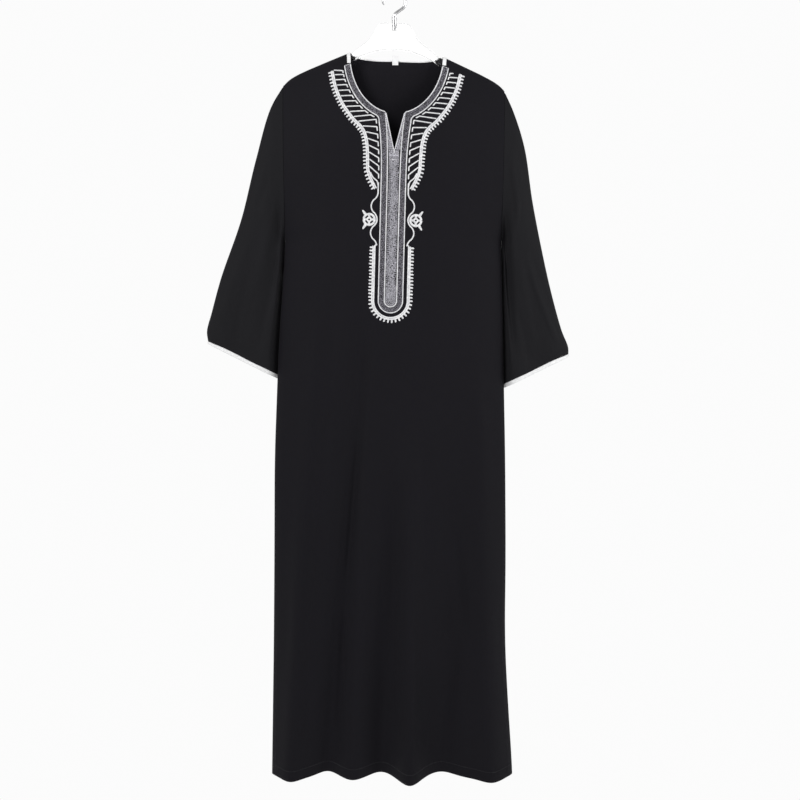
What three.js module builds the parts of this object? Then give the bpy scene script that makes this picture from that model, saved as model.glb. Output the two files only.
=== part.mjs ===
// A long black kurta robe with short sleeves, hanging on a plastic hanger with a metal hook.
// Millimetres, +Z up, +X to the right when the front is seen, the front faces -Y.
// The origin is the seat of the hook, at the top of its inside. Left and right are the wearer's.
import * as THREE from 'three';

// ---- Driving sizes -------------------------------------------------------------------------
const WALL = 1.6;               // thickness of the hanging cloth
const SEAM_GAP = 0.3;           // clear distance between two pieces that are sewn together
const TRIM_LIFT = 0.6;          // clear distance between a panel and what lies on it
const TRIM_THICKNESS = 1.1;     // height of the stitched trimmings
const FALL = 0.028;             // how far the shoulders drop from right to left, per mm of width
const UNDERARM_Z = -471;
const SLIT_TOP_Z = -1224;       // side slits start here and run to the hem
const SLIT_OPENING = 11;        // how far each slit edge stands off the middle at the hem
const HEM_Z = -1480;
const LEVELS = [-354, -412, UNDERARM_Z, -575, -680, -785, -890, -1000, -1112, SLIT_TOP_Z, -1310, -1395];
const SHOULDER_ROUND = 9;       // outer radius where the cloth turns over the hanger
const SHOULDER_SPREAD = 170;    // depth over which the cloth falls away from the hanger
const HEM_DROP = 0.35;          // how much lower the hem hangs on a fold, per mm of its depth

const NECK = {
  x: 4.6, z: -119.6, lean: 0.0253, halfWidth: 88, depth: 117, flare: 6, flareFrom: 87,
  backDepth: 14, backEnd: 93,
};
const NECK_END = NECK.flareFrom + NECK.flare;
const NECK_SLIT = { halfWidth: 17, bottom: 188 };

// Height of the shoulder line at each distance from the middle.
const SHOULDER = [
  { out: 0, z: -116 }, { out: 84, z: -117.8 }, { out: 94, z: -121.8 }, { out: 128, z: -136.8 },
  { out: 164, z: -153 }, { out: 184, z: -163 }, { out: 197, z: -171 }, { out: 206, z: -179 },
  { out: 213, z: -188 },
];

// The hanging body at some heights: its two side edges and how far front and back stand out.
const BODY = [
  { z: -184, xMin: -211, xMax: 209, front: 36, back: 26 },
  { z: -471, xMin: -206.5, xMax: 202.5, front: 42, back: 31 },
  { z: -664, xMin: -218, xMax: 205, front: 44, back: 33 },
  { z: -884, xMin: -226.5, xMax: 208.5, front: 46, back: 35 },
  { z: -1074, xMin: -228, xMax: 210, front: 48, back: 37 },
  { z: -1224, xMin: -229, xMax: 207, front: 50, back: 38 },
  { z: -1324, xMin: -231, xMax: 212, front: 51, back: 39 },
  { z: -1490, xMin: -232.6, xMax: 221, front: 52, back: 40 },
];

// Folds that start high as nothing and grow towards the hem. A plus depth stands out.
const FRONT_FOLDS = [
  { xTop: -150, xHem: -188, start: -560, depth: 25, width: 33 },
  { xTop: -52, xHem: -122, start: -500, depth: -21, width: 26 },
  { xTop: -46, xHem: -78, start: -800, depth: 9, width: 20 },
  { xTop: -10, xHem: -30, start: -840, depth: -18, width: 25 },
  { xTop: 28, xHem: 29, start: -740, depth: 25, width: 24 },
  { xTop: 112, xHem: 88, start: -860, depth: -20, width: 34 },
  { xTop: 160, xHem: 182, start: -640, depth: 27, width: 31 },
];
const BACK_FOLDS = [
  { xTop: -120, xHem: -156, start: -520, depth: 15, width: 34 },
  { xTop: -60, xHem: -84, start: -640, depth: -13, width: 28 },
  { xTop: -10, xHem: -14, start: -700, depth: 15, width: 30 },
  { xTop: 52, xHem: 58, start: -600, depth: -14, width: 28 },
  { xTop: 118, xHem: 134, start: -560, depth: 16, width: 34 },
];

// Outer edge of each hanging sleeve from shoulder to cuff, and the height of its inner cuff end.
const SLEEVES = {
  right: {
    side: -1, innerEnd: -735, cuffDepth: 25, valley: -8, valleyAt: 0.72,
    outer: [[-211.5, -182.5], [-234.5, -224], [-263, -319], [-291, -433], [-329, -543], [-347, -609],
      [-357.5, -648], [-355.5, -667.5]],
  },
  left: {
    side: 1, innerEnd: -753, cuffDepth: 27, valley: -12, valleyAt: 0.8,
    outer: [[209.5, -193.5], [226, -232], [247.5, -300], [262.5, -400], [283.5, -508], [299.5, -578],
      [318, -644], [331.5, -678], [332, -692]],
  },
};
// The sleeve's inner edge hangs a little behind the side seam, close beside it.
const TUCK = { back: 11, beside: 0.9 };
const CUFF_BINDING = { height: 7, thickness: 2.2 };

// Hanger: upper and lower edge at each distance from the middle.
const HANGER_EDGES = [
  { out: 0, top: -72.6, low: -109 }, { out: 5.4, top: -72.6, low: -109 },
  { out: 5.6, top: -59, low: -109 }, { out: 27, top: -60, low: -111 },
  { out: 33, top: -64, low: -112.5 }, { out: 34.5, top: -74, low: -113 },
  { out: 41, top: -84.5, low: -115 }, { out: 52, top: -96, low: -119 },
  { out: 66, top: -106, low: -125 }, { out: 79, top: -117.6, low: -134 },
  { out: 85, top: -122.3, low: -138 }, { out: 93.5, top: -124.8, low: -142 },
  { out: 128, top: -139.6, low: -158 }, { out: 164, top: -155.8, low: -174 },
  { out: 184, top: -165.8, low: -182 }, { out: 196, top: -173.4, low: -187.5 },
  { out: 204, top: -180.8, low: -189.5 },
];
const HANGER_HALF_THICKNESS = 6.4;
const HOOK = { radius: 21, wire: 3, shankTop: -46, ferruleTop: 4.9, ferruleBottom: 4, bottom: -72.2 };

// Trimmings, in the neck's own frame: p across from the middle line, q down from the neck.
const BAND = {
  width: 13, deeper: 1.5, top: 26, innerTop: 22, halfPlacket: 23.8, bottomCentre: 470, inset: 0.6,
};
const BAND_SIDE = [[31.8, 129], [29.6, 144], [27.6, 163]];   // outer edge below the round of the neck
const COMB = { spine: 6.6, tooth: 5.6, pitch: 6.1 };
const UPPER_COMB = [
  [121.5, 36], [118.3, 51.5], [109.8, 79], [95.6, 107.5], [76.4, 132.6], [63.5, 145], [54.2, 164],
  [50.8, 188], [49, 215], [45.3, 236], [33, 261],
];
const LADDER = { rungs: 18, width: 3.6, reach: 4.2, hook: 8.5, crowding: 1.2 };
const LOWER_COMB = { inner: 30.2, top: 368, centre: 470 };
const SCROLL = { top: 253, wave: 50.5, start: 268, end: 367.5, middle: 34.1, swing: 5.9, width: 2.8 };
const MEDALLION = { p: 43.6, q: 319, radius: 12.1, ring: 3.8, spoke: 2.6, arm: 9.6 };
const LABEL = { p: -3, width: 11.6, above: 11, below: 7, thickness: 0.8 };
const NECK_TAPE = { width: 6.4, lift: 1.15, thickness: 1.2, above: 2.6, below: 4 };

// ---- Materials -----------------------------------------------------------------------------
function cloth(name, colour) {
  return new THREE.MeshStandardMaterial({ name, color: colour, roughness: 0.92, metalness: 0 });
}
const BLACK_CLOTH = cloth('black_cloth', 0x201f24);
const WHITE_TAPE = cloth('white_tape', 0xe8e8ec);
const WHITE_THREAD = cloth('white_thread', 0xe1e1e8);
const GREY_THREAD = cloth('grey_thread', 0x77757f);
const WHITE_PLASTIC = new THREE.MeshStandardMaterial({ color: 0xf2f2f2, roughness: 0.35, metalness: 0 });
const GREY_METAL = new THREE.MeshStandardMaterial({ color: 0x8b8b90, roughness: 0.3, metalness: 1 });

// ---- Small helpers -------------------------------------------------------------------------
const { clamp, lerp, smoothstep } = THREE.MathUtils;

// Value of a column at a place between two rows of a table, and that of an end row beyond it.
function along(rows, key, column, at) {
  const rising = rows[rows.length - 1][key] > rows[0][key];
  const before = (row) => (rising ? row[key] <= at : row[key] >= at);
  const last = rows.length - 2;
  const index = clamp(rows.filter(before).length - 1, 0, last);
  const here = rows[index];
  const next = rows[index + 1];
  const f = clamp((at - here[key]) / (next[key] - here[key]), 0, 1);
  return lerp(here[column], next[column], f);
}

function signedVolume(points, faces) {
  return faces.reduce((sum, [a, b, c]) => {
    const cross = new THREE.Vector3().crossVectors(points[b], points[c]);
    return sum + points[a].dot(cross) / 6;
  }, 0);
}

// One closed body from shared points and triangles, turned so that its faces point out.
function body(name, material, points, faces) {
  const outward = signedVolume(points, faces) > 0;
  const order = outward ? faces : faces.map(([a, b, c]) => [a, c, b]);
  const geometry = new THREE.BufferGeometry().setFromPoints(points);
  geometry.setIndex(order.flat());
  geometry.computeVertexNormals();
  const mesh = new THREE.Mesh(geometry, material);
  mesh.name = name;
  return mesh;
}

function quad(faces, a, b, c, d) {
  faces.push([a, b, c], [a, c, d]);
}

// Mean direction of the faces around each point of a grid.
function gridNormals(grid, wraps) {
  const rows = grid.length;
  const columns = grid[0].length;
  const normals = grid.map((row) => row.map(() => new THREE.Vector3()));
  const cells = wraps ? columns : columns - 1;
  for (let j = 0; j < rows - 1; j += 1) {
    for (let i = 0; i < cells; i += 1) {
      const k = (i + 1) % columns;
      const down = new THREE.Vector3().subVectors(grid[j + 1][k], grid[j][i]);
      const over = new THREE.Vector3().subVectors(grid[j][k], grid[j + 1][i]);
      const normal = down.cross(over).normalize();
      [[j, i], [j, k], [j + 1, i], [j + 1, k]].forEach(([r, c]) => normals[r][c].add(normal));
    }
  }
  normals.forEach((row) => row.forEach((normal) => normal.normalize()));
  return normals;
}

// A wall of even thickness behind an outer grid of points, closed along its free edges.
function wall(name, material, grid, { normals, thickness = WALL, wraps = false }) {
  const rows = grid.length;
  const columns = grid[0].length;
  const inner = grid.map((row, j) => row.map((point, i) => (
    point.clone().addScaledVector(normals[j][i], -thickness))));
  const points = [...grid.flat(), ...inner.flat()];
  const out = (j, i) => j * columns + (i % columns);
  const back = (j, i) => rows * columns + out(j, i);
  const faces = [];
  const cells = wraps ? columns : columns - 1;
  for (let i = 0; i < cells; i += 1) {
    for (let j = 0; j < rows - 1; j += 1) {
      quad(faces, out(j, i), out(j + 1, i), out(j + 1, i + 1), out(j, i + 1));
      quad(faces, back(j, i), back(j, i + 1), back(j + 1, i + 1), back(j + 1, i));
    }
    quad(faces, out(0, i), out(0, i + 1), back(0, i + 1), back(0, i));
    quad(faces, out(rows - 1, i), back(rows - 1, i), back(rows - 1, i + 1), out(rows - 1, i + 1));
  }
  for (let j = 0; !wraps && j < rows - 1; j += 1) {
    const end = columns - 1;
    quad(faces, out(j, 0), back(j, 0), back(j + 1, 0), out(j + 1, 0));
    quad(faces, out(j, end), out(j + 1, end), back(j + 1, end), back(j, end));
  }
  return body(name, material, points, faces);
}

// ---- Form of the robe's body ---------------------------------------------------------------
const shoulderZ = (x) => along(SHOULDER, 'out', 'z', Math.abs(x)) - FALL * x;

// Neck frame to robe frame, and the other way.
function fromNeck(p, q) {
  return { x: NECK.x + p - NECK.lean * q, z: NECK.z - q - NECK.lean * p };
}

// How far down the neck opening reaches at a distance from its middle line.
function neckDrop(p) {
  const off = Math.abs(p);
  if (off < NECK_SLIT.halfWidth) {
    const corner = NECK.depth * Math.sqrt(1 - (NECK_SLIT.halfWidth / NECK.halfWidth) ** 2);
    return lerp(NECK_SLIT.bottom, corner, off / NECK_SLIT.halfWidth);
  }
  const round = (p) => NECK.depth * Math.sqrt(1 - (p / NECK.halfWidth) ** 2);
  if (off < NECK.flareFrom) return round(off);
  const flared = Math.min(1, (off - NECK.flareFrom) / NECK.flare);
  return round(NECK.flareFrom) * (1 - Math.sqrt(flared));
}

function frontTop(x) {
  let p = x - NECK.x;
  for (let turn = 0; turn < 6; turn += 1) p = x - NECK.x + NECK.lean * neckDrop(p);
  if (Math.abs(p) >= NECK_END) return shoulderZ(x);
  return Math.min(shoulderZ(x), fromNeck(p, neckDrop(p)).z);
}

// How far the back neck lies below the shoulder line at a distance from its middle.
function backEdge(p) {
  return NECK.backDepth * Math.max(0, 1 - (p / NECK.backEnd) ** 4);
}

function backTop(x) {
  return shoulderZ(x) - backEdge(x - NECK.x);
}

// Quarter round where the cloth turns over the hanger's arm.
function shoulderRound(drop) {
  const left = 1 - clamp(drop / SHOULDER_ROUND, 0, 1);
  return SHOULDER_ROUND * Math.sqrt(1 - left * left);
}

// How far the armhole's edge stands off the middle plane, from shoulder to underarm.
function armholeDepth(x, z) {
  const top = shoulderZ(x);
  const f = clamp((top - z) / (top - UNDERARM_Z), 0, 1);
  const closing = Math.sqrt(Math.max(0, 1 - f ** 7));
  return shoulderRound(top - z) * closing + 12 * Math.sin(Math.PI * f) ** 1.2;
}

function sideDepth(x, z) {
  if (z > UNDERARM_Z) return Math.max(SEAM_GAP / 2, armholeDepth(x, z));
  const down = clamp((SLIT_TOP_Z - z) / (SLIT_TOP_Z - HEM_Z), 0, 1);
  return SEAM_GAP / 2 + SLIT_OPENING * down ** 1.4;
}

function foldDepth(folds, x, z) {
  return folds.reduce((sum, fold) => {
    const grown = clamp((fold.start - z) / (fold.start - HEM_Z), 0, 1);
    const middle = lerp(fold.xTop, fold.xHem, grown);
    const q = (x - middle) / (fold.width * lerp(0.75, 1, grown));
    return sum + fold.depth * grown ** 0.8 * smoothstep(grown, 0, 0.25) * Math.exp(-q * q);
  }, 0);
}

const xAt = (s, z) => lerp(along(BODY, 'z', 'xMin', z), along(BODY, 'z', 'xMax', z), (s + 1) / 2);

// Distance of a panel from the middle plane at a share s of the width (-1 to 1) and a height.
function panelDepth(panel, s, z) {
  const x = xAt(s, z);
  const drop = shoulderZ(x) - z;
  const full = along(BODY, 'z', panel.column, z);
  const spread = smoothstep(drop, -20, SHOULDER_SPREAD) - smoothstep(0, -20, SHOULDER_SPREAD);
  const middle = shoulderRound(drop) + (full - SHOULDER_ROUND) * spread;
  const low = smoothstep(-z, -UNDERARM_Z - 90, -UNDERARM_Z + 60);
  const flat = 1 - s ** 4;
  const rounded = Math.sqrt(Math.max(0, 1 - Math.abs(s) ** 3.2));
  const share = lerp(flat, rounded, low);
  const edge = sideDepth(Math.sign(s) * Math.abs(x), z);
  const depth = edge + (middle - edge) * share + foldDepth(panel.folds, x, z) * rounded;
  return Math.max(SEAM_GAP / 2, depth);
}

const SIDE_SHARES = [1, 0.985, 0.95, 0.895, 0.82, 0.73, 0.62, 0.51];
const NECK_PLACES = [93, 91, 89, 87.4, 84, 75, 60, 44, 29, 17, 8.5, 0];
const BACK_PLACES = [93, 91, 88.5, 85, 78, 60, 36, 12];
const TOP_ROWS = [0, 0.008, 0.028, 0.06, 0.12, 0.21, 0.33, 0.47, 0.63, 0.81];

function shareOf(x, z) {
  const low = along(BODY, 'z', 'xMin', z);
  const high = along(BODY, 'z', 'xMax', z);
  return ((x - low) / (high - low)) * 2 - 1;
}

// Columns of a panel: closer together at the sides and at the corners of the neck opening.
function panelColumns(places, drop) {
  const neck = places.flatMap((p) => (p === 0 ? [0] : [-p, p])).sort((a, b) => a - b);
  const inNeck = neck.map((p) => {
    const { x, z } = fromNeck(p, drop(p));
    return shareOf(x, z);
  });
  return [...SIDE_SHARES.map((s) => -s), ...inNeck, ...SIDE_SHARES.slice().reverse()];
}

const FRONT = {
  column: 'front', folds: FRONT_FOLDS, side: -1, top: frontTop,
  columns: panelColumns(NECK_PLACES, neckDrop),
};
const BACK = {
  column: 'back', folds: BACK_FOLDS, side: 1, top: backTop,
  columns: panelColumns(BACK_PLACES, () => 0),
};

// Heights down one column: crowded at the shoulder, then level rows to the hem.
function columnHeights(panel, s) {
  let top = NECK.z;
  for (let turn = 0; turn < 4; turn += 1) top = panel.top(xAt(s, top));
  const upper = TOP_ROWS.map((f) => lerp(top, LEVELS[0], f));
  const rounded = Math.sqrt(Math.max(0, 1 - Math.abs(s) ** 3.2));
  const hem = HEM_Z - HEM_DROP * foldDepth(panel.folds, xAt(s, HEM_Z), HEM_Z) * rounded;
  return [...upper, ...LEVELS, hem];
}

function panelPoint(panel, s, z) {
  return new THREE.Vector3(xAt(s, z), panel.side * panelDepth(panel, s, z), z);
}

function panelGrid(panel) {
  const heights = panel.columns.map((s) => columnHeights(panel, s));
  return heights[0].map((_, j) => panel.columns.map((s, i) => panelPoint(panel, s, heights[i][j])));
}

// The rim faces its neighbour squarely: over the shoulder, round the armhole and down the side.
function squareRims(panel, grid, normals) {
  grid[0].forEach((point, i) => {
    if (Math.abs(point.z - shoulderZ(point.x)) > 0.5) return;
    const slope = (shoulderZ(point.x + 2) - shoulderZ(point.x - 2)) / 4;
    normals[0][i].set(-slope, 0, 1).normalize();
  });
  grid.forEach((row, j) => {
    [[0, -1], [row.length - 1, 1]].forEach(([i, way]) => {
      if (j === 0) return;
      const facing = clamp(sideDepth(row[i].x, row[i].z) / 6, 0, 1);
      normals[j][i].set(way * (1 - facing), panel.side * facing, 0).normalize();
    });
  });
}

function panelWall(name, panel, grid) {
  const normals = gridNormals(grid, false);
  const flip = normals[10][10].y * panel.side < 0;
  normals.forEach((row) => row.forEach((normal) => normal.multiplyScalar(flip ? -1 : 1)));
  squareRims(panel, grid, normals);
  return wall(name, BLACK_CLOTH, grid, { normals });
}

// ---- Sleeves -------------------------------------------------------------------------------
const RING_STEPS = 26;
const SLEEVE_ROWS = 13;

function sleeveEnds(sleeve, t) {
  const curve = new THREE.CatmullRomCurve3(
    sleeve.outer.map(([x, z]) => new THREE.Vector3(x, 0, z)), false, 'centripetal');
  const outer = curve.getPointAt(clamp(t, 0, 1));
  const z = lerp(UNDERARM_Z, sleeve.innerEnd, t);
  const edge = xAt(sleeve.side, z);
  const off = lerp(SEAM_GAP + 0.1, TUCK.beside, smoothstep(t, 0, 0.3));
  return { outer, inner: new THREE.Vector3(edge + sleeve.side * off, 0, z) };
}

// Direction from the sleeve towards the wearer's hand, square to the cuff.
function cuffDirection(sleeve) {
  const { outer, inner } = sleeveEnds(sleeve, 1);
  const line = inner.clone().sub(outer).normalize();
  return new THREE.Vector3(sleeve.side * Math.abs(line.z), 0, -Math.abs(line.x));
}

function sleevePoint(sleeve, t, turn) {
  const { outer, inner } = sleeveEnds(sleeve, t);
  const a = (1 - Math.cos(turn)) / 2;
  const point = outer.clone().lerp(inner, a);
  const edge = xAt(sleeve.side, point.z) + sleeve.side * (SEAM_GAP + 0.1);
  if (t === 0) point.x = edge;
  const round = Math.abs(Math.sin(turn)) ** 0.85;
  const loose = sleeve.cuffDepth * lerp(0.85, 1, t) * round;
  const sewn = armholeDepth(sleeve.side * Math.abs(edge), point.z) * (round > 0.01 ? 1 : 0);
  const front = Math.sin(turn) > 0;
  const valley = Math.exp(-(((a - sleeve.valleyAt) / 0.11) ** 2)) * smoothstep(t, 0.02, 0.2);
  const fading = (front ? sleeve.valley : sleeve.valley * 0.5) * (1 - smoothstep(t, 0.35, 0.95));
  const wave = 3.5 * Math.sin(a * 9 + (front ? 0.4 : 2.2)) * round * smoothstep(t, 0.3, 1);
  const depth = lerp(sewn, loose, smoothstep(t, 0, 0.3)) + valley * fading + wave;
  const tuck = TUCK.back * smoothstep(a, 0.86, 0.96) * smoothstep(t, 0.08, 0.3);
  point.y = (front ? -1 : 1) * Math.max(depth, 0) + tuck;
  return point;
}

const ringTurns = Array.from({ length: RING_STEPS }, (_, k) => (2 * Math.PI * k) / RING_STEPS);

function sleeveGrid(sleeve) {
  const grid = Array.from({ length: SLEEVE_ROWS }, (_, j) => (
    ringTurns.map((turn) => sleevePoint(sleeve, j / (SLEEVE_ROWS - 1), turn))));
  const back = cuffDirection(sleeve).multiplyScalar(-CUFF_BINDING.height - SEAM_GAP);
  grid[SLEEVE_ROWS - 1].forEach((point) => point.add(back));
  return grid;
}

function outwardNormals(grid) {
  const normals = gridNormals(grid, true);
  const centre = new THREE.Vector3();
  const ring = grid[Math.floor(grid.length / 2)];
  ring.forEach((point) => centre.addScaledVector(point, 1 / ring.length));
  const middle = Math.floor(grid.length / 2);
  const outward = ring[6].clone().sub(centre).dot(normals[middle][6]) > 0;
  if (!outward) normals.forEach((row) => row.forEach((normal) => normal.negate()));
  return normals;
}

// Turns a row of directions into the plane square to a direction.
function flatten(row, way) {
  row.forEach((normal) => normal.addScaledVector(way, -normal.dot(way)).normalize());
}

function sleeveWall(name, sleeve) {
  const grid = sleeveGrid(sleeve);
  const normals = outwardNormals(grid);
  normals[0].forEach((normal) => normal.setX(0).normalize());
  flatten(normals[SLEEVE_ROWS - 1], cuffDirection(sleeve));
  return wall(name, BLACK_CLOTH, grid, { normals, wraps: true });
}

function cuffBinding(name, sleeve) {
  const way = cuffDirection(sleeve);
  const grid = [0, 0.5, 1].map((f) => ringTurns.map((turn) => (
    sleevePoint(sleeve, 1, turn).addScaledVector(way, -CUFF_BINDING.height * (1 - f)))));
  const normals = outwardNormals(grid);
  normals.forEach((row) => flatten(row, way));
  const proud = (CUFF_BINDING.thickness - WALL) / 2;
  const outer = grid.map((row, j) => row.map((point, i) => (
    point.clone().addScaledVector(normals[j][i], proud))));
  return wall(name, WHITE_TAPE, outer, { normals, thickness: CUFF_BINDING.thickness, wraps: true });
}

// ---- Trimmings that lie on the front -------------------------------------------------------
const frontGrid = panelGrid(FRONT);
const backGrid = panelGrid(BACK);

// Place on the flat faces of a panel at a given x and z.
function onPanel(panel, grid, x, z) {
  const s = clamp(shareOf(x, z), -0.999, 0.999);
  const i = panel.columns.findIndex((share) => share > s) - 1;
  const f = (s - panel.columns[i]) / (panel.columns[i + 1] - panel.columns[i]);
  const between = (j) => grid[j][i].clone().lerp(grid[j][i + 1], f);
  let j = 0;
  while (j < grid.length - 2 && between(j + 1).z > z) j += 1;
  const upper = between(j);
  const lower = between(j + 1);
  return lerp(upper.y, lower.y, (upper.z - z) / (upper.z - lower.z));
}

// Flat shapes are kept as points in the neck frame and triangles between them.
class FlatShape {
  constructor() {
    this.points = [];
    this.faces = [];
  }

  add(p, q) {
    this.points.push([p, q]);
    return this.points.length - 1;
  }

  quad(a, b, c, d) {
    this.faces.push([a, b, c], [a, c, d]);
  }

  // A ribbon between two rails of the same number of points.
  ribbon(left, right) {
    const a = left.map(([p, q]) => this.add(p, q));
    const b = right.map(([p, q]) => this.add(p, q));
    for (let k = 0; k < a.length - 1; k += 1) this.quad(a[k], b[k], b[k + 1], a[k + 1]);
    return { a, b };
  }

  mirrored() {
    const copy = new FlatShape();
    copy.points = this.points.map(([p, q]) => [-p, q]);
    copy.faces = this.faces;
    return copy;
  }
}

// Lays a flat shape on the front and gives it its thickness.
function laidOnFront(name, material, shape) {
  const count = shape.points.length;
  const place = (out) => shape.points.map(([p, q]) => {
    const { x, z } = fromNeck(p, q);
    return new THREE.Vector3(x, onPanel(FRONT, frontGrid, x, z) - out, z);
  });
  const points = [...place(TRIM_LIFT), ...place(TRIM_LIFT + TRIM_THICKNESS)];
  const faces = [];
  const edges = new Map();
  shape.faces.forEach((corners) => {
    const [p0, p1, p2] = corners.map((k) => shape.points[k]);
    const area = (p1[0] - p0[0]) * (p2[1] - p0[1]) - (p2[0] - p0[0]) * (p1[1] - p0[1]);
    const [a, b, c] = area > 0 ? corners : [corners[0], corners[2], corners[1]];
    faces.push([a, b, c], [a + count, c + count, b + count]);
    [[a, b], [b, c], [c, a]].forEach(([m, n]) => {
      if (edges.has(`${n},${m}`)) edges.delete(`${n},${m}`);
      else edges.set(`${m},${n}`, [m, n]);
    });
  });
  edges.forEach(([m, n]) => quad(faces, n, m, m + count, n + count));
  return body(name, material, points, faces);
}

const arc = (from, to, steps) => Array.from({ length: steps + 1 }, (_, k) => lerp(from, to, k / steps));

// Outer edge of the grey band: round the neck, then down beside the slit.
function bandEdge(inward) {
  const wide = NECK.halfWidth + BAND.width - inward;
  const deep = NECK.depth + BAND.width + BAND.deeper - inward;
  const start = Math.asin(BAND.top / deep);
  const end = Math.acos((BAND_SIDE[0][0] + 4 - inward) / wide);
  const round = arc(start, end, 11).map((angle) => [wide * Math.cos(angle), deep * Math.sin(angle)]);
  return [...round, ...BAND_SIDE.slice(0, 2).map(([p, q]) => [p - inward, q])];
}

function neckEdge(count) {
  const wide = NECK.halfWidth + BAND.inset;
  const deep = NECK.depth + BAND.inset;
  const start = Math.asin(BAND.innerTop / deep);
  const end = Math.acos((NECK_SLIT.halfWidth + BAND.inset) / wide);
  return arc(start, end, count - 1).map((angle) => [wide * Math.cos(angle), deep * Math.sin(angle)]);
}

// The grey band in one piece: two arms round the neck and the placket with its round end.
function neckBand() {
  const shape = new FlatShape();
  const outer = bandEdge(0);
  const inner = neckEdge(outer.length - 1);
  const corner = neckDrop(NECK_SLIT.halfWidth);
  const slitHalf = (q) => {
    const f = (NECK_SLIT.bottom - q) / (NECK_SLIT.bottom - corner);
    return clamp(f, 0, 1) * NECK_SLIT.halfWidth + BAND.inset;
  };
  const low = NECK_SLIT.bottom + 0.8;
  const edges = [-1, 1].map((side) => {
    const flip = ([p, q]) => [side * p, q];
    const a = [...outer, BAND_SIDE[2], [BAND.halfPlacket + 1, low]];
    const b = [...inner, ...[136, 160].map((q) => [slitHalf(q), q]), [0, low]];
    const rails = { a: a.map((v) => shape.add(...flip(v))), b: b.map((v) => shape.add(...flip(v))) };
    for (let k = 0; k < a.length - 1; k += 1) {
      shape.quad(rails.a[k], rails.b[k], rails.b[k + 1], rails.a[k + 1]);
    }
    return rails;
  });
  joinPlacket(shape, edges);
  return laidOnFront('neck_band', GREY_THREAD, shape);
}

// The placket below the slit, joined to the two arms of the band above it.
function joinPlacket(shape, [first, second]) {
  const last = first.a.length - 1;
  const drop = second.b[last];
  shape.faces = shape.faces.map((face) => face.map((k) => (k === drop ? first.b[last] : k)));
  let row = [first.a[last], first.b[last], second.a[last]];
  const round = arc(0, Math.PI / 2 - 0.16, 5).slice(1);
  const rows = [
    ...arc(206, BAND.bottomCentre, 10).map((q) => ({ half: BAND.halfPlacket, q })),
    ...round.map((angle) => ({
      half: BAND.halfPlacket * Math.cos(angle), q: BAND.bottomCentre + BAND.halfPlacket * Math.sin(angle),
    })),
  ];
  rows.forEach(({ half, q }) => {
    const next = [-half, 0, half].map((p) => shape.add(p, q));
    shape.quad(row[0], row[1], next[1], next[0]);
    shape.quad(row[1], row[2], next[2], next[1]);
    row = next;
  });
}

// A spine with pointed teeth on its outer side. Each cell of the spine carries one tooth.
function combShape(line, inward) {
  const shape = new FlatShape();
  const count = Math.round(line.getLength() / COMB.pitch);
  const stations = Array.from({ length: count + 1 }, (_, k) => {
    const { x, y } = line.getPointAt(k / count);
    const tangent = line.getTangentAt(k / count);
    return { p: x, q: y, nx: -tangent.y * inward, ny: tangent.x * inward };
  });
  const rail = (off) => stations.map(({ p, q, nx, ny }) => [p + nx * off, q + ny * off]);
  const { a, b } = shape.ribbon(rail(COMB.spine / 2), rail(-COMB.spine / 2));
  for (let k = 0; k < count; k += 1) {
    const { p, q, nx, ny } = stations[k];
    const after = stations[k + 1];
    const out = -COMB.spine / 2 - COMB.tooth;
    const tip = shape.add(
      (p + after.p + (nx + after.nx) * out) / 2, (q + after.q + (ny + after.ny) * out) / 2);
    shape.faces.push([b[k], b[k + 1], tip]);
  }
  return { shape, innerRail: a };
}

// Corner line that the ladder's rungs reach, a little way outside the band.
function cornerLine() {
  const points = bandEdge(-LADDER.reach).map(([p, q]) => new THREE.Vector2(p, q));
  const side = BAND.halfPlacket + LADDER.reach;
  return new THREE.SplineCurve([...points, new THREE.Vector2(side + 2.4, 176),
    new THREE.Vector2(side + 0.6, 205), new THREE.Vector2(side, 247)]);
}

function addRungs(shape, innerRail) {
  const corners = cornerLine();
  const reach = corners.getLength();
  const half = LADDER.width / 2;
  const cells = innerRail.length - 1;
  for (let k = 0; k < LADDER.rungs; k += 1) {
    const share = (k / (LADDER.rungs - 1)) ** LADDER.crowding;
    const cell = Math.round(share * (cells - 4));
    const f = 0.035 + 0.9 * share;
    const corner = corners.getPointAt(f);
    const foot = corners.getPointAt(Math.min(1, f + LADDER.hook / reach));
    const run = foot.clone().sub(corner).normalize();
    const side = new THREE.Vector2(run.y, -run.x).multiplyScalar(half);
    const from = [innerRail[cell], innerRail[cell + 1]];
    const bend = [shape.add(corner.x - side.x, corner.y - side.y - half),
      shape.add(corner.x + side.x, corner.y + side.y + half)];
    const end = [shape.add(foot.x - side.x, foot.y - side.y),
      shape.add(foot.x + side.x, foot.y + side.y)];
    shape.quad(from[0], bend[0], bend[1], from[1]);
    shape.quad(bend[0], end[0], end[1], bend[1]);
  }
}

function upperComb() {
  const line = new THREE.SplineCurve(UPPER_COMB.map(([p, q]) => new THREE.Vector2(p, q)));
  const { shape, innerRail } = combShape(line, 1);
  addRungs(shape, innerRail);
  return shape;
}

function lowerComb() {
  const half = LOWER_COMB.inner + COMB.spine / 2;
  const path = new THREE.CurvePath();
  path.add(new THREE.LineCurve(
    new THREE.Vector2(half, LOWER_COMB.top), new THREE.Vector2(half, LOWER_COMB.centre)));
  path.add(new THREE.EllipseCurve(0, LOWER_COMB.centre, half, half, 0, Math.PI, false));
  path.add(new THREE.LineCurve(
    new THREE.Vector2(-half, LOWER_COMB.centre), new THREE.Vector2(-half, LOWER_COMB.top)));
  return combShape(path, 1).shape;
}

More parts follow.
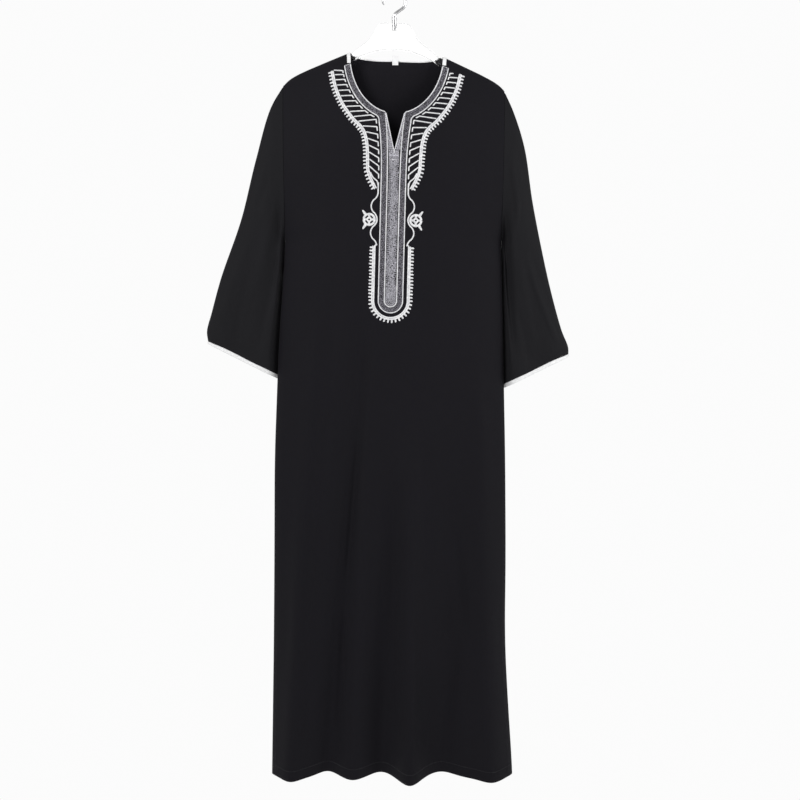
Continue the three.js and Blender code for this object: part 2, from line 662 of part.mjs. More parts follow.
// A wavy line down beside the placket.
function scroll() {
  const shape = new FlatShape();
  const levels = arc(SCROLL.start, SCROLL.end, 20);
  const line = levels.map((q) => [
    SCROLL.middle - SCROLL.swing * Math.cos((2 * Math.PI * (q - SCROLL.start)) / SCROLL.wave), q]);
  const whole = [[line[0][0], SCROLL.top], ...line];
  const half = SCROLL.width / 2;
  const rail = (way) => whole.map(([p, q], k) => {
    const before = whole[Math.max(0, k - 1)];
    const after = whole[Math.min(whole.length - 1, k + 1)];
    const length = Math.hypot(after[0] - before[0], after[1] - before[1]);
    const nx = (after[1] - before[1]) / length;
    const ny = -(after[0] - before[0]) / length;
    return [p + nx * half * way, q + ny * half * way];
  });
  shape.ribbon(rail(-1), rail(1));
  return shape;
}

// A ring with four spokes and two pointed arms on its outer side.
function medallion() {
  const shape = new FlatShape();
  const steps = 20;
  const inner = MEDALLION.radius - MEDALLION.ring;
  const ring = (radius) => Array.from({ length: steps }, (_, k) => {
    const angle = (2 * Math.PI * (k + 0.5)) / steps;
    return shape.add(MEDALLION.p + radius * Math.cos(angle), MEDALLION.q + radius * Math.sin(angle));
  });
  const rim = ring(MEDALLION.radius);
  const bore = ring(inner);
  rim.forEach((_, k) => {
    const next = (k + 1) % steps;
    shape.quad(rim[k], rim[next], bore[next], bore[k]);
  });
  const hub = [2, 7, 12, 17].map((k) => {
    const angle = (2 * Math.PI * (k - 0.5)) / steps + Math.PI / 4;
    const half = MEDALLION.spoke * 0.75;
    return shape.add(MEDALLION.p + half * Math.cos(angle), MEDALLION.q + half * Math.sin(angle));
  });
  shape.quad(hub[0], hub[1], hub[2], hub[3]);
  [4, 9, 14, 19].forEach((k, n) => {
    shape.quad(hub[(n) % 4], hub[(n + 3) % 4], bore[k], bore[(k + 1) % steps]);
  });
  [2, 16].forEach((k) => {
    const angle = (2 * Math.PI * (k + 1)) / steps;
    const far = MEDALLION.radius + MEDALLION.arm;
    const tip = shape.add(MEDALLION.p + far * Math.cos(angle), MEDALLION.q + far * Math.sin(angle));
    shape.faces.push([rim[k], rim[k + 1], tip]);
  });
  return shape;
}

// ---- Neck tape and label -------------------------------------------------------------------
// Place on a panel's smooth form and its outward direction there.
function surfaceAt(panel, x, z) {
  const at = (dx, drop) => {
    const height = Math.min(shoulderZ(x + dx), z - FALL * dx - drop);
    return panelPoint(panel, shareOf(x + dx, height), height);
  };
  if (shoulderZ(x) - z < 0.05) return { point: at(0, 0), normal: new THREE.Vector3(0, 0, 1) };
  const normal = at(1, 0).sub(at(-1, 0)).cross(at(0, 0.4).sub(at(0, -0.4))).normalize();
  return { point: at(0, 0), normal: normal.y * panel.side < 0 ? normal.negate() : normal };
}

// The two rails of the tape: on the front up to the shoulder, over it, then along the back neck.
function tapeStations(side) {
  const { width, above, below } = NECK_TAPE;
  const onFront = [20.5, 15, 9, 4.5, 1.5].map((q) => {
    const flared = (1 - q / neckDrop(NECK.flareFrom)) ** 2 * NECK.flare;
    const p = NECK.flareFrom + flared + 0.5;
    return [p, p + width].map((off) => {
      const { x, z } = fromNeck(side * off, q);
      return { panel: FRONT, x, z: Math.min(z, shoulderZ(x) - 0.5) };
    });
  });
  const behind = [
    [[NECK_END + 0.5, 0], [NECK_END + width + 0.5, 0]],
    [[NECK_END + 0.2, 1], [NECK_END + width, 1.3]],
    [[NECK_END - 0.8, 2.8], [NECK_END + 4.6, 4.4]],
    [[NECK_END - 4.5, 4.8], [NECK_END, 9]],
    [[NECK_END - 9, 5], [NECK_END - 7, 10.5]],
    ...[79, 66, 50, 33, 16].map((p) => [[p, backEdge(p) - above], [p, backEdge(p) + below]]),
  ].map((pair) => pair.map(([p, drop]) => {
    const x = NECK.x + side * p;
    return { panel: BACK, x, z: shoulderZ(x) - drop };
  }));
  return [...onFront, ...behind];
}

function neckTape() {
  const drops = [backEdge(0) - NECK_TAPE.above, backEdge(0) + NECK_TAPE.below];
  const middle = drops.map((drop) => ({ panel: BACK, x: NECK.x, z: shoulderZ(NECK.x) - drop }));
  const stations = [...tapeStations(-1), middle, ...tapeStations(1).reverse()];
  const rings = stations.map((rails) => {
    const [a, b] = rails.map(({ panel, x, z }) => surfaceAt(panel, x, z));
    const out = ({ point, normal }, off) => point.clone().addScaledVector(normal, off);
    const low = NECK_TAPE.lift;
    const high = NECK_TAPE.lift + NECK_TAPE.thickness;
    return [out(a, low), out(b, low), out(b, high), out(a, high)];
  });
  return loft('neck_tape', WHITE_TAPE, rings);
}

// A small blank label that stands up from the middle of the back neck, on its inside.
function neckLabel() {
  const { x, z } = fromNeck(LABEL.p, 0);
  const edge = z + (shoulderZ(x) - NECK.z) - NECK.backDepth;
  const inside = onPanel(BACK, backGrid, x, edge - 3) - WALL - TRIM_LIFT - LABEL.thickness / 2;
  const height = LABEL.above + LABEL.below;
  const tag = new THREE.Mesh(new THREE.BoxGeometry(LABEL.width, LABEL.thickness, height), WHITE_TAPE);
  tag.name = 'neck_label';
  tag.position.set(x, inside, edge - LABEL.below + height / 2);
  return tag;
}

// ---- Hanger --------------------------------------------------------------------------------
// A body through closed sections of the same number of points, with flat ends.
function loft(name, material, rings) {
  const size = rings[0].length;
  const last = rings.length - 1;
  const faces = [];
  for (let k = 0; k < last; k += 1) {
    for (let r = 0; r < size; r += 1) {
      const s = (r + 1) % size;
      quad(faces, k * size + r, k * size + s, (k + 1) * size + s, (k + 1) * size + r);
    }
  }
  for (let r = 1; r < size - 1; r += 1) {
    faces.push([0, r + 1, r], [last * size, last * size + r, last * size + r + 1]);
  }
  return body(name, material, rings.flat(), faces);
}

// Upright section of the hanger: round top, straight sides and a slightly rounded foot.
function hangerSection(x, top, low, half) {
  const round = Math.min(half, (top - low) / 2.2);
  const crown = arc(0, Math.PI, 6).map((angle) => (
    new THREE.Vector3(x, half * Math.cos(angle), top - round + round * Math.sin(angle))));
  const foot = [[-half, 2.5], [-half + 2.5, 0], [half - 2.5, 0], [half, 2.5]].map(([y, up]) => (
    new THREE.Vector3(x, y, low + up)));
  return [...crown, ...foot];
}

function hangerBody() {
  const right = HANGER_EDGES.filter((row) => row.out > 0).map((row) => ({ ...row, x: row.out }));
  const left = right.map((row) => ({ ...row, x: -row.out })).reverse();
  const rows = [...left, { ...HANGER_EDGES[0], x: 0 }, ...right];
  const rings = rows.map(({ x, out, top, low }) => {
    const slim = out > 200 ? 0.8 : 1;
    return hangerSection(x, top - FALL * x, low - FALL * x, HANGER_HALF_THICKNESS * slim);
  });
  return loft('hanger_body', WHITE_PLASTIC, rings);
}

// The hook: a ferrule in the notch of the hanger, then a bent wire with a rounded free end.
function hangerHook() {
  const centreZ = HOOK.wire - HOOK.radius;
  const straight = [[HOOK.bottom, HOOK.ferruleBottom], [HOOK.shankTop - 1.5, HOOK.ferruleTop],
    [HOOK.shankTop, HOOK.wire]];
  const circle = (angle) => [HOOK.radius * Math.cos(angle), centreZ + HOOK.radius * Math.sin(angle)];
  const bend = new THREE.CubicBezierCurve(
    new THREE.Vector2(0, HOOK.shankTop), new THREE.Vector2(0, HOOK.shankTop + 7),
    new THREE.Vector2(...circle(-0.75)).add(new THREE.Vector2(-6, -5)),
    new THREE.Vector2(...circle(-0.55)));
  const turned = bend.getPoints(5).slice(1).map((v) => [v.x, v.y]);
  const round = arc(-0.55, Math.PI + 0.3, 14).slice(1).map(circle);
  const line = [...straight.map(([z]) => [0, z]), ...turned, ...round];
  const radii = line.map((_, k) => (k < straight.length ? straight[k][1] : HOOK.wire));
  radii[radii.length - 1] = HOOK.wire * 0.6;
  const sides = 10;
  const rings = line.map(([x, z], k) => {
    const before = line[Math.max(0, k - 1)];
    const after = line[Math.min(line.length - 1, k + 1)];
    const run = new THREE.Vector3(after[0] - before[0], 0, after[1] - before[1]).normalize();
    const across = new THREE.Vector3(run.z, 0, -run.x);
    return Array.from({ length: sides }, (_, r) => {
      const angle = (2 * Math.PI * r) / sides;
      return new THREE.Vector3(x, radii[k] * Math.sin(angle), z)
        .addScaledVector(across, radii[k] * Math.cos(angle));
    });
  });
  return loft('hanger_hook', GREY_METAL, rings);
}

// ---- Assembly ------------------------------------------------------------------------------
const lowerCombShape = lowerComb();
const robe = new THREE.Group();
robe.add(
  hangerBody(),
  hangerHook(),
  panelWall('front', FRONT, frontGrid),
  panelWall('back', BACK, backGrid),
  sleeveWall('sleeve_right', SLEEVES.right),
  sleeveWall('sleeve_left', SLEEVES.left),
  cuffBinding('cuff_binding_right', SLEEVES.right),
  cuffBinding('cuff_binding_left', SLEEVES.left),
  neckTape(),
  neckLabel(),
  neckBand(),
  laidOnFront('comb_upper_left', WHITE_THREAD, upperComb()),
  laidOnFront('comb_upper_right', WHITE_THREAD, upperComb().mirrored()),
  laidOnFront('comb_lower', WHITE_THREAD, lowerCombShape),
  laidOnFront('scroll_left', WHITE_THREAD, scroll()),
  laidOnFront('scroll_right', WHITE_THREAD, scroll().mirrored()),
  laidOnFront('medallion_left', WHITE_THREAD, medallion()),
  laidOnFront('medallion_right', WHITE_THREAD, medallion().mirrored()),
);

export default robe;
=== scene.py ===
"""A long black robe with short sleeves on a plastic hanger: fine cloth, stitched trimmings and stage.

Sizes are in millimetres in the robe's own frame: +Z up, +X to the wearer's left, the front faces -Y,
the origin is the seat of the hook. Meshes are written in metres.
"""

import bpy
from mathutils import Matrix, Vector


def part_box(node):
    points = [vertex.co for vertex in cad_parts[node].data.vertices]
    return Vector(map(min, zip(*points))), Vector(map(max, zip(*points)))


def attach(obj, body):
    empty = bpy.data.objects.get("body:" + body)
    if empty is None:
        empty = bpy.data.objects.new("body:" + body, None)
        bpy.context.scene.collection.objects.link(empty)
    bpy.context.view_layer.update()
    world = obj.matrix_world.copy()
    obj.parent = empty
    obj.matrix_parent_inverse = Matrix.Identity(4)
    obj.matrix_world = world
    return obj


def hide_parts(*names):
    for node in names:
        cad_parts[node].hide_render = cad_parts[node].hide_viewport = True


bl_info = {
    "name": "Kurta robe on a hanger",
    "version": (1, 0, 0),
    "blender": (4, 5, 0),
    "location": "View3D > Sidebar > Robe",
    "description": "Makes the cloth, the stitched trimmings, the hanger and the stage of a hung robe",
    "category": "Object",
}

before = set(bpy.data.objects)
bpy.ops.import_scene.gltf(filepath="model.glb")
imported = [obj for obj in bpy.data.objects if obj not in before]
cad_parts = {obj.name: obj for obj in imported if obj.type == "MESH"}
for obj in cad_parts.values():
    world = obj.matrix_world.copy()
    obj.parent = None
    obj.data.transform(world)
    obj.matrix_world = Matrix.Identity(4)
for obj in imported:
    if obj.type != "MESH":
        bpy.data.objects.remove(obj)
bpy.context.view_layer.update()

import bpy
import numpy as np
from mathutils import Vector

MM = 0.001
BODY_NAME = "root"


# ---- Tables and the robe's driving sizes ------------------------------------------------------
def table(names, *values):
    """A short table as a dict of one array for each named column."""
    return dict(zip(names.split(), np.array(values, float).T))


SEAM_GAP = 0.3
FALL = 0.028
UNDERARM_Z = -471
SLIT_TOP_Z = -1224
SLIT_OPENING = 11
HEM_Z = -1480
HEM_WIDTH = 19
UPPER_END_Z = -354
SHOULDER_ROUND = 9
SHOULDER_SPREAD = 170
HEM_DROP = 0.35
NECK = {"x": 4.6, "z": -119.6, "lean": 0.0253, "half": 88, "depth": 117, "back": 14,
        "back_end": 93, "flare": 1.6, "flare_from": 86}
NECK_END = NECK["flare_from"] + NECK["flare"]
SLIT = {"half": 17, "bottom": 188}

SHOULDER = table("out z", (0, -116), (84, -117.8), (94, -121.8), (128, -136.8), (164, -153),
                 (184, -163), (197, -171), (206, -179), (213, -188))
BODY = table("z x_min x_max front back",
             (-184, -211, 209, 36, 26), (-471, -206.5, 202.5, 42, 31), (-664, -219.5, 206.5, 44, 33),
             (-884, -227.5, 210.5, 46, 35), (-1074, -228, 211.5, 48, 37), (-1224, -229, 209.5, 50, 38),
             (-1324, -230, 214, 51, 39), (-1490, -231.5, 224, 52, 40))
FRONT_FOLDS = table("x_top x_hem start depth width",
                    (-150, -198, -560, 25, 25), (-52, -126, -500, -23, 26), (-46, -78, -800, 6, 20),
                    (-10, -25, -840, -20, 28), (28, 29, -740, 23, 24), (112, 88, -860, -21, 34),
                    (160, 187, -640, 27, 31))
BACK_FOLDS = table("x_top x_hem start depth width",
                   (-120, -156, -520, 15, 34), (-60, -84, -640, -13, 28), (-10, -14, -700, 15, 30),
                   (52, 58, -600, -14, 28), (118, 134, -560, 16, 34))

# Soft troughs (minus) and ridges (plus) laid into the panels: a line, its depth and half width.
FRONT_CREASES = table("x0 z0 x1 z1 depth width",
                      (-50, -640, -68, -860, -3.0, 6.5), (-62, -780, -94, -1180, -5.0, 6),
                      (-90, -1110, -108, -1475, -6.0, 6), (-50, -700, -80, -1240, 2.6, 12),
                      (-2, -900, -3, -1400, -3.4, 9), (116, -1010, 130, -1230, -3.0, 10),
                      (124, -1200, 82, -1450, -2.2, 9), (160, -720, 178, -1010, 1.6, 11),
                      (-186, -620, -196, -1010, 1.8, 13), (-112, -520, -128, -900, -1.1, 12),
                      (72, -700, 70, -1150, 1.3, 15), (176, -744, 192, -790, 1.3, 5),
                      (168, -772, 190, -806, -1.3, 5), (-150, -250, -164, -480, 1.2, 14),
                      (150, -260, 160, -460, -1.1, 12), (-196, -1120, -204, -1300, -1.4, 8),
                      (190, -1130, 204, -1330, -1.5, 8), (30, -1180, 40, -1460, 1.8, 10),
                      (-170, -1160, -160, -1450, -1.6, 10), (-40, -560, -30, -800, 0.9, 14))
BACK_CREASES = table("x0 z0 x1 z1 depth width",
                     (-84, -600, -104, -1120, -2.4, 8), (-96, -1060, -84, -1460, -2.6, 9),
                     (40, -620, 56, -1160, -2.0, 8), (60, -1100, 48, -1450, -2.2, 9),
                     (120, -560, 148, -900, 1.6, 12), (-160, -640, -176, -1120, 1.6, 12),
                     (0, -760, -12, -1300, 1.4, 13), (-30, -190, -46, -420, -1.0, 14),
                     (90, -230, 112, -470, 1.0, 13), (-130, -250, -150, -440, 1.1, 13),
                     (176, -1080, 190, -1400, -1.6, 9), (-200, -1120, -206, -1380, 1.3, 9))
SLEEVES = {
    "right": {"side": -1, "inner_end": -735, "cuff_depth": 25, "valley": -8, "valley_at": 0.72,
              "outer": ((-211.5, -182.5), (-234.5, -224), (-263, -319), (-291, -433), (-329, -543),
                        (-347, -609), (-357.5, -648), (-355.5, -667.5)),
              "creases": table("t0 a0 t1 a1 depth width",
                               (0.10, 0.80, 0.96, 0.72, -2.6, 0.050), (0.25, 0.55, 0.80, 0.46, 1.6, 0.07),
                               (0.45, 0.24, 0.93, 0.16, 1.7, 0.06), (0.55, 0.36, 0.98, 0.40, -1.5, 0.05),
                               (0.16, 0.36, 0.42, 0.22, -1.2, 0.06), (0.62, 0.60, 0.98, 0.56, 1.4, 0.05))},
    "left": {"side": 1, "inner_end": -753, "cuff_depth": 27, "valley": -12, "valley_at": 0.8,
             "outer": ((209.5, -193.5), (226, -232), (247.5, -300), (262.5, -400), (283.5, -508),
                       (299.5, -578), (318, -644), (331.5, -678), (332, -692)),
             "creases": table("t0 a0 t1 a1 depth width",
                              (0.06, 0.84, 0.90, 0.78, -3.4, 0.050), (0.05, 0.34, 0.34, 0.42, 2.4, 0.08),
                              (0.52, 0.34, 0.97, 0.10, 2.8, 0.045), (0.50, 0.24, 0.86, 0.06, -1.8, 0.05),
                              (0.40, 0.52, 0.95, 0.44, 1.8, 0.07), (0.60, 0.66, 0.98, 0.58, -1.6, 0.05),
                              (0.12, 0.20, 0.30, 0.12, -1.4, 0.06))},
}
TUCK = {"back": 11, "behind": 1.2}
BINDING = {"height": 7, "thickness": 2.2}

# The grey band lies between an outer and an inner edge. Each is an arc of an ellipse round the neck,
# then a line down beside the slit (distance from the middle at each depth), then half a circle.
BAND = {
    "outer": {"wide": 101, "deep": 131.5, "top": 26, "corner": 35.5, "end": 23.7,
              "side": table("q p", (129, 31.8), (144, 29.6), (163, 27.4), (192, 25), (230, 24), (470, 23.7))},
    "inner": {"wide": 88.4, "deep": 117.4, "top": 22, "corner": 19.5, "end": 11,
              "side": table("q p", (122, 17.6), (144, 14.8), (172, 12.9), (201, 12), (249, 11.2), (470, 11))},
    "bottom": 470,
}
BLACK_TONE = 0.5                # shade of the black stitches, between their dark and light
COMB = {"spine": 6.2, "tooth": 5.3, "upper_teeth": 38, "lower_teeth": 50}
UPPER_COMB = ((121.5, 36), (118.3, 51.5), (114.8, 65.5), (109.8, 79), (103.2, 94), (95.6, 107.5),
              (86.2, 120.6), (76.4, 132.6), (65.2, 143), (58.2, 153), (54.2, 164), (51.4, 178),
              (50.1, 194), (49.4, 209), (48.6, 224.5), (45.3, 236), (40.2, 247.8), (33, 261))
LADDER = {"rungs": 18, "width": 2.5, "reach": 4.0, "hook": 8.2}
LOWER_COMB = {"inner": 30.2, "top": 368, "centre": 470}
SCROLL = {"top": 253, "wave": 50.5, "start": 268, "end": 367.5, "middle": 34.1, "swing": 5.9, "lean": 0.4,
          "width": 2.7}
MEDALLION = {"p": 43.6, "q": 319, "radius": 12.4, "ring": 4.4, "tips": ((-0.935, 21.6), (0.99, 21.6))}
TAPE = {"width": 7, "lift": 0.5, "thickness": 1.0, "above": 2.6, "below": 4}
HANGER = table("out top low", (0, -72.6, -109), (5.4, -72.6, -109), (5.7, -59, -109), (27, -60, -111),
               (33, -64, -112.5), (35.5, -74, -113), (41, -84.5, -115), (52, -96, -119),
               (66, -106, -125), (79, -117.6, -134), (85, -122.3, -138), (93.5, -124.8, -142),
               (128, -139.6, -158), (164, -155.8, -174), (184, -165.8, -182), (196, -173.4, -187.5),
               (204, -180.8, -189.5))
HANGER_HALF = 6.4
HOOK = {"radius": 21, "wire": 3, "shank": -46, "ferrule_top": 4.9, "ferrule_bottom": 4, "bottom": -72.2}


# ---- Small helpers ----------------------------------------------------------------------------
def smooth(x, low=0.0, high=1.0):
    """Zero below low, one above high, and the cubic 3t^2 - 2t^3 between them."""
    t = np.clip((x - low) / (high - low), 0, 1)
    return t * t * (3 - 2 * t)


def mix(a, b, t):
    """Straight blend from a to b."""
    return a + (b - a) * t


def along(rows, key, name, at, reach=0.0):
    """Value between a table's rows, straight from row to row, averaged over the reach on both sides."""
    order = np.argsort(rows[key])
    places = [at + reach * f for f in (-1, -0.5, 0, 0.5, 1)] if reach else [at]
    return sum(np.interp(x, rows[key][order], rows[name][order]) for x in places) / len(places)


def unit(vectors):
    """Vectors scaled to length one."""
    return vectors / np.maximum(np.linalg.norm(vectors, axis=-1, keepdims=True), 1e-9)


def curve(points, count, knots=0.5):
    """Count points evenly spaced on a smooth line through given ones: between two of them a cubic whose
    slopes come from the neighbours, with knots spaced by the given power of the distance."""
    given = np.array(points, float)
    gaps = np.linalg.norm(np.diff(given, axis=0), axis=1)
    at = np.concatenate([[0], np.cumsum(gaps ** knots)])
    slopes = np.gradient(given, at, axis=0)
    t = np.linspace(0, at[-1], 60 * len(given))
    k = np.clip(np.searchsorted(at, t, side="right") - 1, 0, len(given) - 2)
    step = (at[k + 1] - at[k])[:, None]
    f = (t - at[k])[:, None] / step
    dense = ((2 * f ** 3 - 3 * f ** 2 + 1) * given[k] + (f ** 3 - 2 * f ** 2 + f) * step * slopes[k]
             + (3 * f ** 2 - 2 * f ** 3) * given[k + 1] + (f ** 3 - f ** 2) * step * slopes[k + 1])
    return evenly(dense, count)


def lengths(points):
    """Distance run along a line of points."""
    return np.concatenate([[0], np.cumsum(np.linalg.norm(np.diff(points, axis=0), axis=1))])


def evenly(points, count, ends=(0.0, 1.0)):
    """Count points evenly spaced by length on a line, between two shares of its length."""
    run = lengths(points)
    at = np.linspace(ends[0], ends[1], count) * run[-1]
    return np.stack([np.interp(at, run, points[:, c]) for c in range(points.shape[1])], -1)


def mean_by(points, step):
    """How many points a line needs for the given step."""
    return max(4, int(round(lengths(points)[-1] / step)) + 1)


# ---- The hanging body as a surface ------------------------------------------------------------
def shoulder_z(x):
    """Height of the shoulder line: the table's, falling evenly from one side to the other."""
    return along(SHOULDER, "out", "z", np.abs(x), 5) - FALL * x


def edges(z):
    """The two side edges of the body at a height."""
    return along(BODY, "z", "x_min", z, 50), along(BODY, "z", "x_max", z, 50)


def x_at(s, z):
    """Place across the body: s runs from -1 at one side edge to 1 at the other."""
    low, high = edges(z)
    return mix(low, high, (s + 1) / 2)


def share_of(x, z):
    """The reverse of x_at."""
    low, high = edges(z)
    return (x - low) / (high - low) * 2 - 1


def from_neck(p, q):
    """Neck frame (p across, q down from the neck) to the robe's x and z."""
    return NECK["x"] + p - NECK["lean"] * q, NECK["z"] - q - NECK["lean"] * p


def neck_drop(p):
    """How far down the neck opening reaches: an ellipse, a straight-sided slit, and flared ends."""
    off = np.abs(p)
    ellipse = lambda v: NECK["depth"] * np.sqrt(np.maximum(0, 1 - (v / NECK["half"]) ** 2))
    slit = mix(SLIT["bottom"], ellipse(SLIT["half"]), off / SLIT["half"])
    flared = np.clip((off - NECK["flare_from"]) / NECK["flare"], 0, 1)
    ends = ellipse(NECK["flare_from"]) * (1 - np.sqrt(flared))
    return np.where(off < SLIT["half"], slit, np.where(off < NECK["flare_from"], ellipse(off), ends))


def front_top(x):
    """Top edge of the front: the shoulder line, or the neck opening where that is lower."""
    p = x - NECK["x"]
    for _ in range(6):
        p = x - NECK["x"] + NECK["lean"] * neck_drop(p)
    neck = from_neck(p, neck_drop(p))[1]
    return np.where(np.abs(p) >= NECK_END, shoulder_z(x), np.minimum(shoulder_z(x), neck))


def back_edge(p):
    """Drop of the back neck below the shoulder line: a flat curve of the fourth power."""
    return NECK["back"] * np.maximum(0, 1 - (p / NECK["back_end"]) ** 4)


def back_top(x):
    """Top edge of the back."""
    return shoulder_z(x) - back_edge(x - NECK["x"])


def shoulder_round(drop):
    """Quarter circle where the cloth turns over the hanger."""
    left = 1 - np.clip(drop / SHOULDER_ROUND, 0, 1)
    return SHOULDER_ROUND * np.sqrt(1 - left * left)


def armhole_depth(x, z):
    """Distance of the armhole's edge from the middle plane, from shoulder to underarm."""
    top = shoulder_z(x)
    f = np.clip((top - z) / (top - UNDERARM_Z), 0, 1)
    closing = np.sqrt(np.maximum(0, 1 - f ** 7))
    return shoulder_round(top - z) * closing + 12 * np.maximum(np.sin(np.pi * f), 0) ** 1.2


def side_depth(x, z):
    """Distance of the panel's side edge from the middle plane: armhole, side seam, open slit."""
    down = np.clip((SLIT_TOP_Z - z) / (SLIT_TOP_Z - HEM_Z), 0, 1)
    seam = SEAM_GAP / 2 + SLIT_OPENING * down ** 1.4
    return np.where(z > UNDERARM_Z, np.maximum(SEAM_GAP / 2, armhole_depth(x, z)), seam)


def fold_depth(folds, x, z):
    """Sum of folds that grow from nothing to the hem, each a bell across its middle line."""
    total = 0
    for x_top, x_hem, start, depth, width in zip(*folds.values()):
        grown = np.clip((start - z) / (start - HEM_Z), 0, 1)
        q = (x - mix(x_top, x_hem, grown)) / (width * mix(0.75, 1, grown))
        total = total + depth * grown ** 0.8 * smooth(grown, 0, 0.25) * np.exp(-q * q)
    return total


def crease_depth(creases, x, z):
    """Sum of creases: each a bell across its line, fading in and out over its two end thirds."""
    total = 0
    for x0, z0, x1, z1, depth, width in zip(*creases.values()):
        run = np.hypot(x1 - x0, z1 - z0)
        t = ((x - x0) * (x1 - x0) + (z - z0) * (z1 - z0)) / run ** 2
        off = ((x - x0) * (z1 - z0) - (z - z0) * (x1 - x0)) / run
        total = total + depth * np.exp(-((off / width) ** 2)) * smooth(t, 0, 0.33) * smooth(1 - t, 0, 0.33)
    return total


def ripple(x, z):
    """Small uneven waves of a light cloth: three long waves of different pitch, up to half a mm."""
    return (0.22 * np.sin(x / 23 + z / 210 + 1.3) + 0.16 * np.sin(x / 11 - z / 160 + 4.1)
            + 0.14 * np.sin(x / 41 + z / 70 + 0.4))


def panel_depth(panel, s, z):
    """Distance of a panel from the middle plane: shoulder round, swell of the body, folds, creases."""
    x = x_at(s, z)
    drop = shoulder_z(x) - z
    full = along(BODY, "z", panel["column"], z, 70)
    spread = smooth(drop, -20, SHOULDER_SPREAD) - smooth(0.0, -20, SHOULDER_SPREAD)
    middle = shoulder_round(drop) + (full - SHOULDER_ROUND) * spread
    low = smooth(-z, -UNDERARM_Z - 90, -UNDERARM_Z + 60)
    rounded = np.sqrt(np.maximum(0, 1 - np.abs(s) ** 3.2))
    share = mix(1 - s ** 4, rounded, low)
    edge = side_depth(np.sign(s) * np.abs(x), z)
    fine = crease_depth(panel["creases"], x, z) + ripple(x, z) * smooth(drop, 10, 60)
    depth = edge + (middle - edge) * share + (fold_depth(panel["folds"], x, z) + fine) * rounded
    return np.maximum(SEAM_GAP / 2, depth)


FRONT = {"column": "front", "folds": FRONT_FOLDS, "creases": FRONT_CREASES, "side": -1, "top": front_top}
BACK = {"column": "back", "folds": BACK_FOLDS, "creases": BACK_CREASES, "side": 1, "top": back_top}


def panel_point(panel, s, z):
    """Points of a panel at shares of its width and heights."""
    x = x_at(s, z)
    return np.stack([x, panel["side"] * panel_depth(panel, s, z), z + 0 * x], -1)


def front_y(x, z):
    """Where the front's outer face lies at a given x and z."""
    return -panel_depth(FRONT, np.clip(share_of(x, z), -0.999, 0.999), z)


def panel_columns(places, drop, side_count):
    """Shares of the width for the columns: the given neck places, then columns crowding to the sides."""
    places = np.unique(np.concatenate([-np.array(places), places]))
    neck = share_of(*from_neck(places, drop(places)))
    t = np.sin(np.linspace(0, np.pi / 2, side_count + 1))[1:]
    left = mix(neck[0], -1.0, t)[::-1]
    right = mix(neck[-1], 1.0, t)
    return np.concatenate([left, neck, right])


def panel_heights(panel, s, upper, lower):
    """Heights down each column: crowded under its top, even below, two close rows at the hem's seam."""
    top = np.full_like(s, NECK["z"])
    for _ in range(4):
        top = panel["top"](x_at(s, top))
    rounded = np.sqrt(np.maximum(0, 1 - np.abs(s) ** 3.2))
    x = x_at(s, HEM_Z)
    hem = HEM_Z - HEM_DROP * fold_depth(panel["folds"], x, HEM_Z + 0 * x) * rounded
    upper_rows = mix(top[None], UPPER_END_Z, (np.linspace(0, 1, upper) ** 1.5)[:, None])
    seam = hem + HEM_WIDTH
    lower_rows = mix(UPPER_END_Z, seam[None] + 2, np.linspace(0, 1, lower + 1)[1:, None])
    last = seam[None] + np.array([0.8, 0, -0.8, -2.5, -9, -15])[:, None]
    return np.concatenate([upper_rows, lower_rows, last, hem[None]])


# ---- Meshes -----------------------------------------------------------------------------------
def new_object(name, points, polygons, finish, flat=None, tone=None):
    """A smooth mesh in metres from points in mm and arrays of equal-sided polygons, with the piece's
    own measures on it: flat, its place on the cut cloth in mm, and tone, a shade for each point."""
    mesh = bpy.data.meshes.new(name)
    points = np.asarray(points, float).reshape(-1, 3)
    mesh.vertices.add(len(points))
    mesh.vertices.foreach_set("co", (points * MM).ravel())
    sizes = np.concatenate([np.full(len(p), p.shape[1]) for p in polygons])
    corners = np.concatenate([p.ravel() for p in polygons])
    mesh.loops.add(len(corners))
    mesh.loops.foreach_set("vertex_index", corners.astype(np.int32))
    mesh.polygons.add(len(sizes))
    mesh.polygons.foreach_set("loop_start", (np.cumsum(sizes) - sizes).astype(np.int32))
    mesh.polygons.foreach_set("use_smooth", np.ones(len(sizes), bool))
    mesh.update(calc_edges=True)
    mesh.validate()
    if flat is not None:
        measure = mesh.attributes.new("flat_mm", "FLOAT_VECTOR", "POINT")
        measure.data.foreach_set("vector", np.asarray(flat, np.float32).ravel())
    if tone is not None:
        shade = mesh.attributes.new("tone", "FLOAT", "POINT")
        shade.data.foreach_set("value", np.asarray(tone, np.float32).ravel())
    mesh.materials.append(finish)
    made = bpy.data.objects.new(name, mesh)
    bpy.context.scene.collection.objects.link(made)
    return made


def grid_quads(rows, columns, wraps=False):
    """Corner numbers of the quads of a grid of points, turned when its rows run round a tube."""
    index = np.arange(rows * columns).reshape(rows, columns)
    if wraps:
        index = np.concatenate([index, index[:, :1]], 1)
    a, b, c, d = index[:-1, :-1], index[1:, :-1], index[1:, 1:], index[:-1, 1:]
    return np.stack([a, b, c, d], -1).reshape(-1, 4)


def flip(polygons, wanted):
    """The polygons as they are, or turned round."""
    return polygons if wanted else polygons[:, ::-1]


def enclosed(points, polygons):
    """Six times the volume that closed polygons enclose: more than zero when they face outwards."""
    a, b, c = (points[polygons[:, k]] for k in (0, 1, 2))
    total = np.einsum("ij,ij->", a, np.cross(b, c))
    if polygons.shape[1] == 4:
        total += np.einsum("ij,ij->", a, np.cross(c, points[polygons[:, 3]]))
    return total


